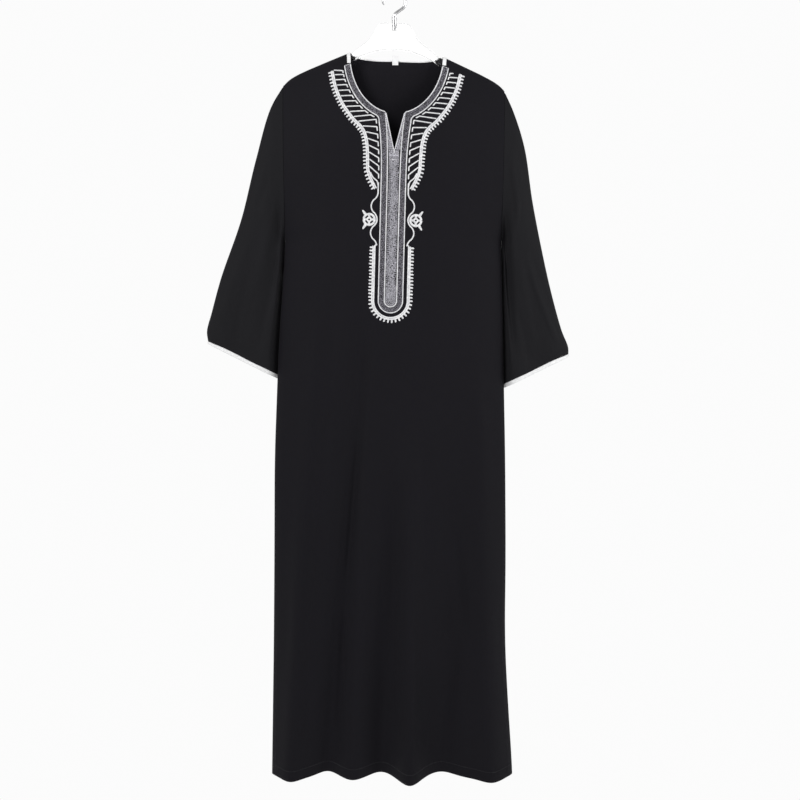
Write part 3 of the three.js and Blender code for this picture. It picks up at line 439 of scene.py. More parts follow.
def closed_tubes(rings):
    """Separate closed bodies from rings[body, station, corner]: walls between rings and two flat ends."""
    bodies, stations, corners = rings.shape[:3]
    points = rings.reshape(-1, 3)
    one = grid_quads(stations, corners, wraps=True)
    starts = (np.arange(bodies) * stations * corners)[:, None]
    walls = (starts[:, :, None] + one[None]).reshape(-1, 4)
    first = starts + np.arange(corners)[None]
    last = starts + (stations - 1) * corners + np.arange(corners)[None]
    outwards = enclosed(points[:stations * corners] - points[:stations * corners].mean(0), one) > 0
    return points, [flip(walls, outwards), flip(first, outwards), flip(last[:, ::-1], outwards)]


def threads(centres, normals, half, height, corners=8, sunk=0.25, slant=0.0):
    """Rings round lines of points: half an ellipse above the cloth, a shallow curve sunk below it, and
    each ring sheared along the line by the slant, as satin stitches lie."""
    tangent = unit(np.gradient(centres, axis=1))
    side = unit(np.cross(tangent, normals))
    angle = (np.arange(corners) + 0.5) * 2 * np.pi / corners
    rise = np.where(np.sin(angle) > 0, 1.0, 0.0)
    up = height[..., None] * np.sin(angle) * rise + sunk * np.sin(angle) * (1 - rise)
    over = half[..., None] * np.cos(angle)
    return (centres[:, :, None] + side[:, :, None] * over[..., None]
            + normals[:, :, None] * up[..., None] + tangent[:, :, None] * (slant * over)[..., None])


def join(*parts):
    """Several (points, polygons) in one, with the corner numbers moved on."""
    points, polygons, start = [], [], 0
    for part_points, part_polygons in parts:
        points.append(part_points)
        polygons += [p + start for p in part_polygons]
        start += len(part_points)
    return np.concatenate(points), polygons


# ---- Satin stitches on the front --------------------------------------------------------------
THREAD_STEP = 0.33


def on_front(line):
    """Points (p, q) of the neck frame laid on the front's outer face."""
    x, z = from_neck(line[..., 0], line[..., 1])
    return np.stack([x, front_y(x, z), z], -1)


def satin(lines, half, height, blunt=0.9, slant=0.35, corners=8):
    """Satin bars along lines[bar, station, (p, q)]: a rounded ridge whose every second ring is lower,
    which shows the threads, with both ends rounded over the length of blunt times the half width."""
    lines = np.asarray(lines, float)
    step = np.linalg.norm(np.diff(lines, axis=1), axis=-1)
    run = np.concatenate([np.zeros((len(lines), 1)), np.cumsum(step, 1)], 1)
    to_end = np.minimum(run, run[:, -1:] - run) / (blunt * half)
    round_end = np.sqrt(np.clip(1 - (1 - np.clip(to_end, 0, 1)) ** 2, 0.06, 1))
    thread = 1 - 0.2 * (np.arange(lines.shape[1]) % 2)[None]
    centres = on_front(lines)
    normals = np.zeros_like(centres)
    normals[..., 1] = -1
    rings = threads(centres, normals, half * round_end * (0.97 + 0.03 * thread),
                    height * round_end * thread, corners, slant=slant)
    return closed_tubes(rings)


def satin_line(line, half, height, step=THREAD_STEP, **more):
    """One satin bar along a line of any length."""
    return satin(evenly(line, mean_by(line, step))[None], half, height, **more)


def beside(line, off):
    """A line moved sideways, to the right of its run where off is more than zero."""
    tangent = unit(np.gradient(line, axis=0))
    return line + np.stack([tangent[:, 1], -tangent[:, 0]], -1) * off


def mirrored(line):
    """The same line on the other side of the middle."""
    return line * np.array([-1, 1])


SIDES = (np.asarray, mirrored)      # turns a line into itself, and to the other side


# ---- Shader maths -----------------------------------------------------------------------------
class Value:
    """A shader socket on which sums can be written; each sum adds its Math node."""

    def __init__(self, finish, socket):
        self.finish, self.socket = finish, socket

    def math(self, operation, other=0.0, turned=False):
        """One Math node on this value and another, or on the other and this one."""
        first, second = (other, self) if turned else (self, other)
        return self.finish.node("ShaderNodeMath", {"operation": operation}, {0: first, 1: second})

    def __add__(self, other):
        return self.math("ADD", other)

    def __radd__(self, other):
        return self.math("ADD", other, True)

    def __sub__(self, other):
        return self.math("SUBTRACT", other)

    def __rsub__(self, other):
        return self.math("SUBTRACT", other, True)

    def __mul__(self, other):
        return self.math("MULTIPLY", other)

    def __rmul__(self, other):
        return self.math("MULTIPLY", other, True)

    def __truediv__(self, other):
        return self.math("DIVIDE", other)


class Finish:
    """A material that is built node by node around one Principled shader."""

    def __init__(self, name, **constants):
        self.material = bpy.data.materials.new(name)
        self.material.use_nodes = True
        self.tree = self.material.node_tree
        self.shader = self.tree.nodes["Principled BSDF"]
        for socket, value in constants.items():
            self.shader.inputs[socket.replace("_", " ")].default_value = value

    def node(self, kind, settings=None, values=None, output=0):
        """Adds a node, makes its settings, then fills its sockets with values or links."""
        made = self.tree.nodes.new(kind)
        for name, value in (settings or {}).items():
            if name == "ramp":
                self.fill_ramp(made.color_ramp, value)
            else:
                setattr(made, name, value)
        for name, value in (values or {}).items():
            self.put(made.inputs[name], value)
        return Value(self, made.outputs[output])

    def fill_ramp(self, ramp, stops):
        """Stops of a ramp, as (place, grey or colour)."""
        while len(ramp.elements) < len(stops):
            ramp.elements.new(1.0)
        for element, (place, shade) in zip(ramp.elements, stops):
            element.position = place
            element.color = (*shade, 1) if hasattr(shade, "__len__") else (shade, shade, shade, 1)

    def put(self, socket, value):
        """Links a value to a socket, or writes a number or colour on it."""
        if isinstance(value, Value):
            self.tree.links.new(value.socket, socket)
        elif hasattr(value, "__len__") and socket.type == "RGBA" and len(value) == 3:
            socket.default_value = (*value, 1)
        else:
            socket.default_value = value

    def feed(self, socket, value):
        """Links a value to the Principled shader."""
        self.put(self.shader.inputs[socket], value)

    def place(self):
        """Object coordinates, in metres."""
        return self.node("ShaderNodeTexCoord", output=3)

    def flat(self):
        """The piece's own measure in mm: along the cut, across it."""
        vector = self.node("ShaderNodeAttribute", {"attribute_name": "flat_mm"}, output=1)
        split = self.node("ShaderNodeSeparateXYZ", values={0: vector})
        return vector, split, Value(self, split.socket.node.outputs[1])

    def tone(self):
        """The shade stored on the piece's points."""
        return self.node("ShaderNodeAttribute", {"attribute_name": "tone"}, output=2)

    def noise(self, vector, scale, detail=3.0, rough=0.5):
        """Noise between 0 and 1."""
        return self.node("ShaderNodeTexNoise", values={"Vector": vector, "Scale": scale, "Detail": detail,
                                                       "Roughness": rough})

    def blend(self, factor, first, second):
        """Mix of two colours."""
        made = self.tree.nodes.new("ShaderNodeMix")
        made.data_type = "RGBA"
        self.put(made.inputs["Factor"], factor)
        self.put(made.inputs[6], first)
        self.put(made.inputs[7], second)
        return Value(self, made.outputs[2])

    def bump(self, height, distance, strength=1.0):
        """Bump into the shader's normal, with its height's size in metres."""
        self.feed("Normal", self.node("ShaderNodeBump", values={
            "Height": height, "Distance": distance, "Strength": strength}))


def shade(colour, factor):
    """A colour made darker or lighter."""
    return tuple(min(1.0, c * factor) for c in colour)


def cloth_finish(name, colour, thread=0.55, depth=0.00012, **constants):
    """Plain-woven cloth: warp and weft as crossed waves, uneven yarns and faint cloudy shading."""
    made = Finish(name, **constants)
    vector, over, down = made.flat()
    turn = 2 * np.pi / thread
    warp = (over * turn).math("SINE")
    weft = (down * turn).math("SINE")
    yarns = made.noise(made.node("ShaderNodeVectorMath", {"operation": "MULTIPLY"},
                                 {0: vector, 1: (1.3, 0.05, 1)}), 1.0, 2.0)
    cloud = made.noise(made.place(), 7.0, 4.0)
    made.bump(warp * weft * 0.4 + yarns * 0.6 + cloud * 0.2, depth)
    grain = (yarns - 0.5) * 0.35 + (cloud - 0.5) * 0.7 + 0.5
    made.feed("Base Color", made.blend(grain, shade(colour, 0.72), shade(colour, 1.28)))
    made.feed("Roughness", cloud * 0.14 + 0.62)
    return made.material


def tape_finish(name, colour):
    """Ribbed woven tape: fine ribs across it, and a little soil in cloudy patches."""
    made = Finish(name, Specular_IOR_Level=0.25, Sheen_Weight=0.15, Sheen_Roughness=0.5)
    _, over, down = made.flat()
    ribs = (over * (2 * np.pi / 0.8)).math("SINE")
    rows = (down * (2 * np.pi / 1.1)).math("SINE")
    cloud = made.noise(made.place(), 90.0)
    made.bump(ribs * 0.5 + rows * 0.3 + cloud * 0.4, 0.00012)
    made.feed("Base Color", made.blend(cloud, shade(colour, 0.86), shade(colour, 1.06)))
    made.feed("Roughness", cloud * 0.2 + 0.65)
    return made.material


def thread_finish(name, colour, spread=0.25, rough=0.42):
    """Embroidery thread: a soft gloss, every stitch a little lighter or darker than the next."""
    made = Finish(name, Specular_IOR_Level=0.45, Sheen_Weight=0.2, Sheen_Roughness=0.4)
    fibres = made.noise(made.place(), 1500.0, 2.0)
    cloud = made.noise(made.place(), 120.0, 2.0)
    grain = made.tone() * 0.6 + fibres * 0.25 + cloud * 0.15
    made.feed("Base Color", made.blend(grain, shade(colour, 1 - spread), shade(colour, 1 + spread)))
    made.feed("Roughness", fibres * 0.2 + rough)
    made.bump(fibres, 0.00008)
    return made.material


def plastic_finish(name, colour):
    """Moulded clear plastic: smooth, with a faint orange peel and fine scuffs."""
    made = Finish(name, Transmission_Weight=1.0, IOR=1.3)
    peel = made.noise(made.place(), 260.0, 2.0)
    scuff = made.noise(made.place(), 40.0, 6.0, 0.7)
    made.bump(peel * 0.7 + scuff * 0.3, 0.00003)
    made.feed("Base Color", made.blend(scuff, shade(colour, 0.985), shade(colour, 1.01)))
    made.feed("Roughness", scuff * 0.1 + 0.01)
    return made.material


def metal_finish(name, colour):
    """Plated steel wire: fine marks of drawing along it and small dull spots."""
    made = Finish(name, Metallic=1.0)
    stretched = made.node("ShaderNodeVectorMath", {"operation": "MULTIPLY"},
                          {0: made.place(), 1: (900, 900, 40)})
    marks = made.noise(stretched, 1.0, 3.0)
    spots = made.noise(made.place(), 300.0, 3.0)
    made.bump(marks, 0.00003)
    made.feed("Base Color", made.blend(spots, shade(colour, 0.8), shade(colour, 1.15)))
    made.feed("Roughness", marks * 0.15 + spots * 0.12 + 0.16)
    return made.material


def floor_finish(name, colour):
    """Pale matt floor with a very faint cloudiness."""
    made = Finish(name, Roughness=0.85, Specular_IOR_Level=0.2)
    cloud = made.noise(made.place(), 1.5, 3.0)
    made.feed("Base Color", made.blend(cloud, shade(colour, 0.98), shade(colour, 1.01)))
    return made.material


# ---- Settings ---------------------------------------------------------------------------------
def colour_setting(name, description, default):
    """A colour that a user may change."""
    return bpy.props.FloatVectorProperty(name=name, description=description, default=default, subtype="COLOR",
                                         size=3, min=0, max=1)


def length_setting(name, description, default, low, high):
    """A length in metres that a user may change."""
    return bpy.props.FloatProperty(name=name, description=description, default=default * MM, min=low * MM,
                                   max=high * MM, subtype="DISTANCE", unit="LENGTH")


class RobeSizes(bpy.types.PropertyGroup):
    """Sizes that a user may change."""

    cloth: length_setting("Cloth", "Thickness of the robe's cloth", 0.9, 0.3, 1.4)
    satin_height: length_setting("Satin height", "How far the satin stitches stand up", 1.0, 0.3, 1.6)
    stitch: length_setting("Stitch", "Length of a machine stitch", 2.8, 1.5, 5)
    stitch_gap: length_setting("Stitch gap", "Distance between two machine stitches", 1.1, 0.5, 3)


class RobeColours(bpy.types.PropertyGroup):
    """Colours that a user may change, as linear values."""

    cloth: colour_setting("Cloth", "Black cloth", (0.0060, 0.0054, 0.0080))
    # Painted light: the sleeves' colour is the black body cloth made lighter, standing in for the light that
    # falls more strongly on the sleeves; they are of the same cloth as the body.
    sleeve: colour_setting("Sleeves", "Black cloth of the sleeves", (0.0092, 0.009, 0.0108))
    tape: colour_setting("Tape", "White woven tape", (0.95, 0.95, 0.96))
    thread: colour_setting("Thread", "White embroidery thread", (0.80, 0.80, 0.84))
    grey: colour_setting("Grey thread", "Grey filling thread", (0.26, 0.25, 0.29))
    panel: colour_setting("Light grey thread", "Filling thread of the middle", (0.62, 0.61, 0.67))
    ground: colour_setting("Ground", "Cloth between the filling stitches", (0.03, 0.029, 0.034))
    plastic: colour_setting("Plastic", "Clear plastic of the hanger", (0.98, 0.98, 0.98))
    metal: colour_setting("Metal", "Wire of the hook", (0.72, 0.72, 0.73))
    floor: colour_setting("Floor", "Floor of the studio", (0.86, 0.86, 0.86))


def sizes():
    """The sizes in force."""
    return bpy.context.scene.robe_sizes


def colours():
    """The colours in force."""
    return bpy.context.scene.robe_colours


def finish_for(kind):
    """The material of one kind, made the first time that it is asked for."""
    found = bpy.data.materials.get("robe_" + kind)
    if found:
        return found
    c = colours()
    soft = {"Specular_IOR_Level": 0.12, "Sheen_Weight": 0.04, "Sheen_Roughness": 0.45}
    makers = {
        "cloth": lambda name: cloth_finish(name, c.cloth, **soft),
        # Painted light: the sleeve finish is a lighter copy of the body cloth, for the light that the sleeves
        # catch.
        "sleeve": lambda name: cloth_finish(name, c.sleeve, **soft),
        "tape": lambda name: tape_finish(name, c.tape),
        "thread": lambda name: thread_finish(name, c.thread),
        "grey": lambda name: thread_finish(name, c.grey, 0.75, 0.5),
        "panel": lambda name: thread_finish(name, c.panel, 0.5, 0.5),
        "ground": lambda name: cloth_finish(name, c.ground, 0.8, Specular_IOR_Level=0.2),
        "black_thread": lambda name: thread_finish(name, shade(c.cloth, 1.6), 0.2, 0.5),
        "plastic": lambda name: plastic_finish(name, c.plastic),
        "metal": lambda name: metal_finish(name, c.metal),
        "floor": lambda name: floor_finish(name, c.floor),
    }
    return makers[kind]("robe_" + kind)


def make_stitches(name, points, polygons, kind, slot, tone, *nodes):
    """A piece of stitches in one finish, with one tone, or a tone for each point."""
    tone = np.broadcast_to(tone, len(points))
    return settle(new_object(name, points, polygons, finish_for(kind), tone=tone), slot, *nodes)


def settle(piece, slot, *nodes):
    """Puts a piece on the part's body and lets it stand for its solids."""
    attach(piece, BODY_NAME)
    if nodes:
        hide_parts(*nodes)
    return piece


def give_wall(piece, thickness):
    """A wall behind the outer face."""
    wall = piece.modifiers.new("wall", "SOLIDIFY")
    wall.thickness = thickness
    wall.offset = -1
    wall.use_even_offset = False
    return piece


# ---- Machine stitches -------------------------------------------------------------------------
def machine_stitches(line, normals, radius=0.28):
    """A row of separate stitches on a line of points: each a short bowed thread that dips at its ends."""
    run = lengths(line)
    step = (sizes().stitch + sizes().stitch_gap) / MM
    starts = np.arange(step * 0.3, run[-1] - step, step)
    at = starts[:, None] + np.linspace(0, sizes().stitch / MM, 5)[None]
    centres = np.stack([np.interp(at, run, line[:, k]) for k in range(3)], -1)
    ups = unit(np.stack([np.interp(at, run, normals[:, k]) for k in range(3)], -1))
    bow = np.sin(np.linspace(0, np.pi, 5))[None] * 1.4 * radius - 0.4 * radius
    centres = centres + ups * bow[..., None]
    thin = np.full(at.shape, radius)
    return closed_tubes(threads(centres, ups, thin, thin, 6, sunk=radius))


def panel_line(panel, s, z):
    """Points and outward directions along a line on a panel, from small steps to each side."""
    here = panel_point(panel, s, z)
    step, rise, end = 0.002, 0.4, 0.9999
    over = (panel_point(panel, np.minimum(s + step, end), z)
            - panel_point(panel, np.maximum(s - step, -end), z))
    down = panel_point(panel, s, z - rise) - panel_point(panel, s, z + rise)
    normal = unit(np.cross(over, down))
    return here, normal * np.where(normal[:, 1:2] * panel["side"] < 0, -1, 1)


def panel_stitches(panel):
    """Stitch rows of a panel: along the hem's seam and up beside both side slits."""
    s = np.linspace(-0.992, 0.992, 500)
    x = x_at(s, HEM_Z)
    rounded = np.sqrt(np.maximum(0, 1 - np.abs(s) ** 3.2))
    hem = HEM_Z - HEM_DROP * fold_depth(panel["folds"], x, HEM_Z + 0 * x) * rounded + HEM_WIDTH
    rows = [panel_line(panel, s, hem)]
    z = np.linspace(SLIT_TOP_Z + 12, HEM_Z + 2, 160)
    rows += [panel_line(panel, side * 0.965 + 0 * z, z) for side in (-1, 1)]
    return join(*[machine_stitches(line, up) for line, up in rows])


# ---- Pieces -----------------------------------------------------------------------------------
def make_panel(panel, name, node, columns, upper, lower):
    """A panel's cloth: panel_point over columns of shares and rows of heights."""
    z = panel_heights(panel, columns, upper, lower)
    s = np.broadcast_to(columns, z.shape)
    points = panel_point(panel, s, z)
    flat = np.stack([points[..., 0], points[..., 2], 0 * z], -1)
    quads = flip(grid_quads(*z.shape), panel["side"] < 0)
    piece = new_object(name, points, [quads], finish_for("cloth"), flat)
    return settle(give_wall(piece, sizes().cloth), "black_cloth", node)


def neck_places():
    """Places across the neck opening: even on the slit, even by angle on the ellipse, crowded at the
    flare."""
    first = np.arcsin(SLIT["half"] / NECK["half"])
    last = np.arcsin(NECK["flare_from"] / NECK["half"])
    slit = np.linspace(0, SLIT["half"], 12)
    ellipse = NECK["half"] * np.sin(np.linspace(first, last, 26))
    flare = NECK["flare_from"] + NECK["flare"] * np.linspace(0, 1, 10) ** 0.8
    return np.concatenate([slit, ellipse[1:], flare[1:]])


def make_front():
    """The front panel, with its neck opening and slit."""
    columns = panel_columns(neck_places(), neck_drop, 54)
    piece = make_panel(FRONT, "front_cloth", "front", columns, 56, 92)
    make_stitches("front_stitches", *panel_stitches(FRONT), "black_thread", "black_cloth", BLACK_TONE)
    return piece


def make_back():
    """The back panel, with its shallow neck edge."""
    even = 80
    rest = mix(even, NECK["back_end"], np.sin(np.linspace(0, np.pi / 2, 9)))
    places = np.concatenate([np.linspace(0, even, 26), rest[1:]])
    columns = panel_columns(places, lambda p: 0 * p, 46)
    piece = make_panel(BACK, "back_cloth", "back", columns, 40, 84)
    make_stitches("back_stitches", *panel_stitches(BACK), "black_thread", "black_cloth", BLACK_TONE)
    return piece


def sleeve_ends(sleeve, t):
    """Outer and inner edge of a sleeve, t from shoulder to cuff."""
    line = curve(sleeve["outer"], 400)
    share = np.linspace(0, 1, 400)
    outer = np.stack([np.interp(t, share, line[:, 0]), 0 * t, np.interp(t, share, line[:, 1])], -1)
    z = mix(UNDERARM_Z, sleeve["inner_end"], t)
    off = mix(0.05, -TUCK["behind"], smooth(t, 0.1, 0.35))
    inner_x = x_at(sleeve["side"], z) + sleeve["side"] * off
    return outer, np.stack([inner_x, 0 * t, z], -1)


def cuff_way(sleeve):
    """Direction along the arm, square to the cuff."""
    outer, inner = sleeve_ends(sleeve, np.array(1.0))
    line = unit(inner - outer)
    return np.array([sleeve["side"] * abs(line[2]), 0, -abs(line[0])])


def sleeve_creases(sleeve, t, a):
    """Sum of the sleeve's creases, each a bell across its line from (t0, a0) to (t1, a1)."""
    total = 0
    for t0, a0, t1, a1, depth, width in zip(*sleeve["creases"].values()):
        f = np.clip((t - t0) / (t1 - t0), 0, 1)
        off = (a - mix(a0, a1, f)) / width
        total = total + depth * np.exp(-off * off) * smooth(f, 0, 0.3) * smooth(1 - f, 0, 0.2)
    return total


def sleeve_point(sleeve, t, turn):
    """Points of a sleeve: t from shoulder to cuff, turn round it. It is sewn to the armhole at t = 0 and
    opens to a flat oval at the cuff, with a valley beside the body and soft creases. Its inner edge
    lies a little behind the side seam."""
    outer, inner = sleeve_ends(sleeve, t)
    side = sleeve["side"]
    a = (1 - np.cos(turn)) / 2
    point = mix(outer, inner, a[..., None])
    edge = x_at(side, point[..., 2]) + side * (SEAM_GAP + 0.1)
    point[..., 0] = np.where(t == 0, edge, point[..., 0])
    rounding = np.abs(np.sin(turn)) ** 0.85
    loose = sleeve["cuff_depth"] * mix(0.85, 1, t) * rounding
    sewn = armhole_depth(side * np.abs(edge), point[..., 2]) * (rounding > 0.01)
    front = np.sin(turn) > 0
    valley = np.exp(-(((a - sleeve["valley_at"]) / 0.11) ** 2)) * smooth(t, 0.02, 0.2)
    fading = np.where(front, 1, 0.5) * sleeve["valley"] * (1 - smooth(t, 0.35, 0.95))
    wave = 3.5 * np.sin(a * 9 + np.where(front, 0.4, 2.2)) * rounding * smooth(t, 0.3, 1)
    fine = sleeve_creases(sleeve, t, np.where(front, a, 1.06 - a)) * np.minimum(1, rounding * 1.6)
    depth = mix(sewn, loose, smooth(t, 0, 0.3)) + valley * fading + wave + fine * smooth(t, 0.01, 0.12)
    tuck = TUCK["back"] * smooth(a, 0.86, 0.96) * smooth(t, 0.08, 0.3)
    point[..., 1] = np.where(front, -1, 1) * np.maximum(depth, 0) + tuck
    return point


def make_sleeve(side):
    """A sleeve's cloth: sleeve_point over its length and round it, short of the cuff's binding."""
    sleeve = SLEEVES[side]
    turns = np.linspace(0, 2 * np.pi, 161)[:-1]
    t, turn = np.meshgrid(np.linspace(0, 1, 90) ** 1.08, turns, indexing="ij")
    points = sleeve_point(sleeve, t, turn)
    way = cuff_way(sleeve)
    points = points - way * (BINDING["height"] * 0.55) * smooth(t, 0.85, 1)[..., None]
    over = np.concatenate([[0], np.cumsum(np.linalg.norm(np.diff(points[-1], axis=0), axis=1))])
    down = t * 470
    flat = np.stack([np.broadcast_to(over, t.shape), down, 0 * t], -1)
    quads = flip(grid_quads(*t.shape, wraps=True), side == "right")
    name = f"sleeve_{side}_cloth"
    # The sleeve finish carries painted light: the same black cloth, made lighter for the light that falls on
    # the sleeves.
    piece = new_object(name, points, [quads], finish_for("sleeve"), flat)
    return settle(give_wall(piece, sizes().cloth), "black_cloth", f"sleeve_{side}")


def make_binding(side):
    """A cuff's binding: a rounded flat band folded over the sleeve's edge, with its row of stitches."""
    sleeve = SLEEVES[side]
    way = cuff_way(sleeve)
    turns = np.linspace(0, 2 * np.pi, 241)[:-1]
    edge = sleeve_point(sleeve, np.ones_like(turns), turns)
    tangent = unit(np.roll(edge, -1, 0) - np.roll(edge, 1, 0))
    out = unit(np.cross(tangent, way))
    centre = edge.mean(0)
    out *= np.where(np.einsum("ij,ij->i", edge - centre, out)[:, None] < 0, -1, 1)
    angle = np.linspace(0, 2 * np.pi, 17)[:-1]
    high = BINDING["height"] / 2
    across = np.sign(np.cos(angle)) * np.abs(np.cos(angle)) ** 0.6 * BINDING["thickness"] / 2
    up = np.sign(np.sin(angle)) * np.abs(np.sin(angle)) ** 0.45 * high - high
    inset = 0.75    # how far the band's middle lies inside the sleeve's edge
    middle = edge - out * inset
    rings = middle[:, None] + out[:, None] * across[None, :, None] + way * up[None, :, None]
    points = rings.reshape(-1, 3)
    index = np.arange(len(points)).reshape(len(turns), 16)
    index = np.concatenate([index, index[:1]], 0)
    index = np.concatenate([index, index[:, :1]], 1)
    quads = np.stack([index[:-1, :-1], index[1:, :-1], index[1:, 1:], index[:-1, 1:]], -1).reshape(-1, 4)
    quads = flip(quads, enclosed(points - points.mean(0), quads) > 0)
    run = np.concatenate([[0], np.cumsum(np.linalg.norm(np.diff(edge, axis=0), axis=1))])
    flat = np.stack([np.repeat(run, 16), np.tile(np.cumsum(np.abs(up)), len(turns)),
                     np.zeros(len(points))], -1)
    piece = new_object(f"cuff_binding_{side}_cloth", points, [quads], finish_for("tape"), flat)
    settle(piece, "white_tape", f"cuff_binding_{side}")
    line = edge + out * (BINDING["thickness"] / 2 - inset) - way * (BINDING["height"] - 0.9)
    line, ups = np.concatenate([line, line[:1]]), np.concatenate([out, out[:1]])
    make_stitches(f"cuff_stitches_{side}", *machine_stitches(line, ups, 0.22), "thread", "white_thread", 0.4)
    return piece


def tape_rails():
    """Both edges of the neck's tape as (panel, x, z): up the front, over the shoulder, round the back
    neck."""
    front = []
    for q in (21.5, 15, 9, 4.5, 1.5):
        flared = (1 - q / neck_drop(np.array(float(NECK["flare_from"])))) ** 2 * NECK["flare"]
        p = NECK["flare_from"] + max(flared, 0) + 0.5
        front.append([(FRONT, p, q), (FRONT, p + TAPE["width"], q)])
    behind = [[(BACK, NECK_END + 0.5, 0), (BACK, NECK_END + TAPE["width"] + 0.5, 0)],
              [(BACK, NECK_END + 0.3, 1.2), (BACK, NECK_END + TAPE["width"], 1.5)],
              [(BACK, NECK_END - 0.8, 2.6), (BACK, NECK_END + 5.2, 4.6)],
              [(BACK, NECK_END - 4, 3.6), (BACK, NECK_END + 1, 9)],
              [(BACK, NECK_END - 8, 4.2), (BACK, NECK_END - 6, 10.3)]]
    behind += [[(BACK, p, back_edge(p) - TAPE["above"]), (BACK, p, back_edge(p) + TAPE["below"])]
               for p in (72.0, 60.0, 46.0, 31.0, 15.0, 0.0)]
    return front + behind


def tape_place(panel, p, q, side):
    """A tape point's surface point and outward direction on its panel."""
    if panel is FRONT:
        x, z = from_neck(side * p, q)
        z = min(z, shoulder_z(x) - 0.5)
    else:
        x = NECK["x"] + side * p
        z = shoulder_z(x) - q
    if shoulder_z(x) - z < 0.05:
        s = share_of(np.array([x]), np.array([z]))
        return panel_point(panel, s, np.array([z]))[0], np.array([0.0, 0, 1])
    steps = [(0, 0), (1, 0), (-1, 0), (0, 0.4), (0, -0.4)]
    xs = np.array([x + dx for dx, _ in steps])
    zs = np.minimum(shoulder_z(xs), np.array([z - FALL * dx - drop for dx, drop in steps]))
    at = panel_point(panel, share_of(xs, zs), zs)
    normal = unit(np.cross(at[1] - at[2], at[3] - at[4]))
    return at[0], normal * (-1 if normal[1] * panel["side"] < 0 else 1)


def make_tape():
    """The neck's tape: a rounded flat strip between two smooth rails, with a stitch row on each edge."""
    stations = tape_rails()
    order = [(pair, -1) for pair in stations] + [(pair, 1) for pair in stations[-2::-1]]
    rails = np.array([[np.concatenate(tape_place(*corner, side)) for corner in pair] for pair, side in order])
    count = 300
    share = np.linspace(0, 1, count)
    run = lengths(rails[:, :, :3].mean(1))
    smooth_rails = np.stack([np.stack([np.interp(share, run / run[-1], rails[:, r, c]) for c in range(6)], -1)
                             for r in (0, 1)])
    kernel = np.ones(9) / 9
    padded = np.pad(smooth_rails, ((0, 0), (4, 4), (0, 0)), mode="edge")
    rounded = np.stack([[np.convolve(padded[r, :, c], kernel, "valid") for c in range(6)] for r in (0, 1)])
    inner, outer = rounded.transpose(0, 2, 1)
    ups = unit(unit(inner[:, 3:]) + unit(outer[:, 3:]))
    middle, half = (inner[:, :3] + outer[:, :3]) / 2, (outer[:, :3] - inner[:, :3]) / 2
    angle = np.linspace(0, 2 * np.pi, 13)[:-1]
    across = np.sign(np.cos(angle)) * np.abs(np.cos(angle)) ** 0.4
    rise = np.sign(np.sin(angle)) * np.abs(np.sin(angle)) ** 0.6 * TAPE["thickness"] / 2 + TAPE["lift"] + 0.5
    rings = middle[:, None] + half[:, None] * across[None, :, None] + ups[:, None] * rise[None, :, None]
    points, polygons = closed_tubes(rings[None])
    flat = np.stack([np.repeat(share * run[-1], 12), np.tile(across * 3.2, count), np.zeros(count * 12)], -1)
    piece = new_object("neck_tape_cloth", points, polygons, finish_for("tape"), flat)
    settle(piece, "white_tape", "neck_tape")
    top = TAPE["lift"] + 0.5 + TAPE["thickness"] / 2
    rows = [machine_stitches(middle + half * off + ups * (top - 0.1), ups, 0.2) for off in (-0.62, 0.62)]
    make_stitches("neck_tape_stitches", *join(*rows), "thread", "white_thread", 0.3)
    return piece


def make_label():
    """The small blank label: a folded ribbon, a rounded loop carried across its width and slightly bowed."""
    low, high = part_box("neck_label")
    low, high = np.array(low) / MM, np.array(high) / MM
    angle = np.linspace(0, 2 * np.pi, 33)[:-1]
    middle, half = (low + high) / 2, (high - low) / 2
    u = np.linspace(-1, 1, 15)
    rise = np.sign(np.sin(angle)) * np.abs(np.sin(angle)) ** 0.35
    thick = np.sign(np.cos(angle)) * np.abs(np.cos(angle)) ** 0.9
    bow = 0.25 * (1 - u ** 2)
    x = middle[0] + half[0] * u[:, None] + 0 * rise[None]
    y = middle[1] + half[1] * thick[None] * 0.8 - bow[:, None] * 0.3
    z = middle[2] + half[2] * rise[None] * (1 - 0.015 * u[:, None] ** 6)
    rings = np.stack([x, y, z], -1)
    points, polygons = closed_tubes(rings[None])
    flat = np.stack([x, z, 0 * x], -1)
    piece = new_object("neck_label_cloth", points, polygons, finish_for("tape"), flat.reshape(-1, 3))
    return settle(piece, "white_tape", "neck_label")


# ---- Embroidery -------------------------------------------------------------------------------
def band_edge(edge, half):
    """One edge of the grey band, from the top of its arm down to the bottom, and up the other side."""
    angle = np.linspace(np.arcsin(edge["top"] / edge["deep"]), np.arccos(edge["corner"] / edge["wide"]), 60)
    arm = np.stack([edge["wide"] * np.cos(angle), edge["deep"] * np.sin(angle)], -1)
    q = np.linspace(edge["side"]["q"][0], BAND["bottom"], 140)
    down = np.stack([along(edge["side"], "q", "p", q, 4), q], -1)
    turn = np.linspace(0, np.pi / 2, 24)[1:]
    end = np.stack([edge["end"] * np.cos(turn), BAND["bottom"] + edge["end"] * np.sin(turn)], -1)
    bend = curve([arm[-4], arm[-1], down[0], down[3]], 30, 1.0)[1:-1]
    side = np.concatenate([arm[:-4], bend, down[4:], end])
    return side if half else np.concatenate([side, mirrored(side[:-1])[::-1]])


def band_rail(share, half=False):
    """A line in the grey band: share 0 is its outer edge, share 1 its inner edge."""
    return mix(band_edge(BAND["outer"], half), band_edge(BAND["inner"], half), share)


def slit_edge(off):
    """The slit's edge moved outwards, from its upper corner to its lower end."""
    corner = neck_drop(np.array(float(SLIT["half"])))
    q = np.linspace(corner + 2, SLIT["bottom"] - 2, 60)
    f = (SLIT["bottom"] - q) / (SLIT["bottom"] - corner)
    return np.stack([f * SLIT["half"] + off, q], -1)


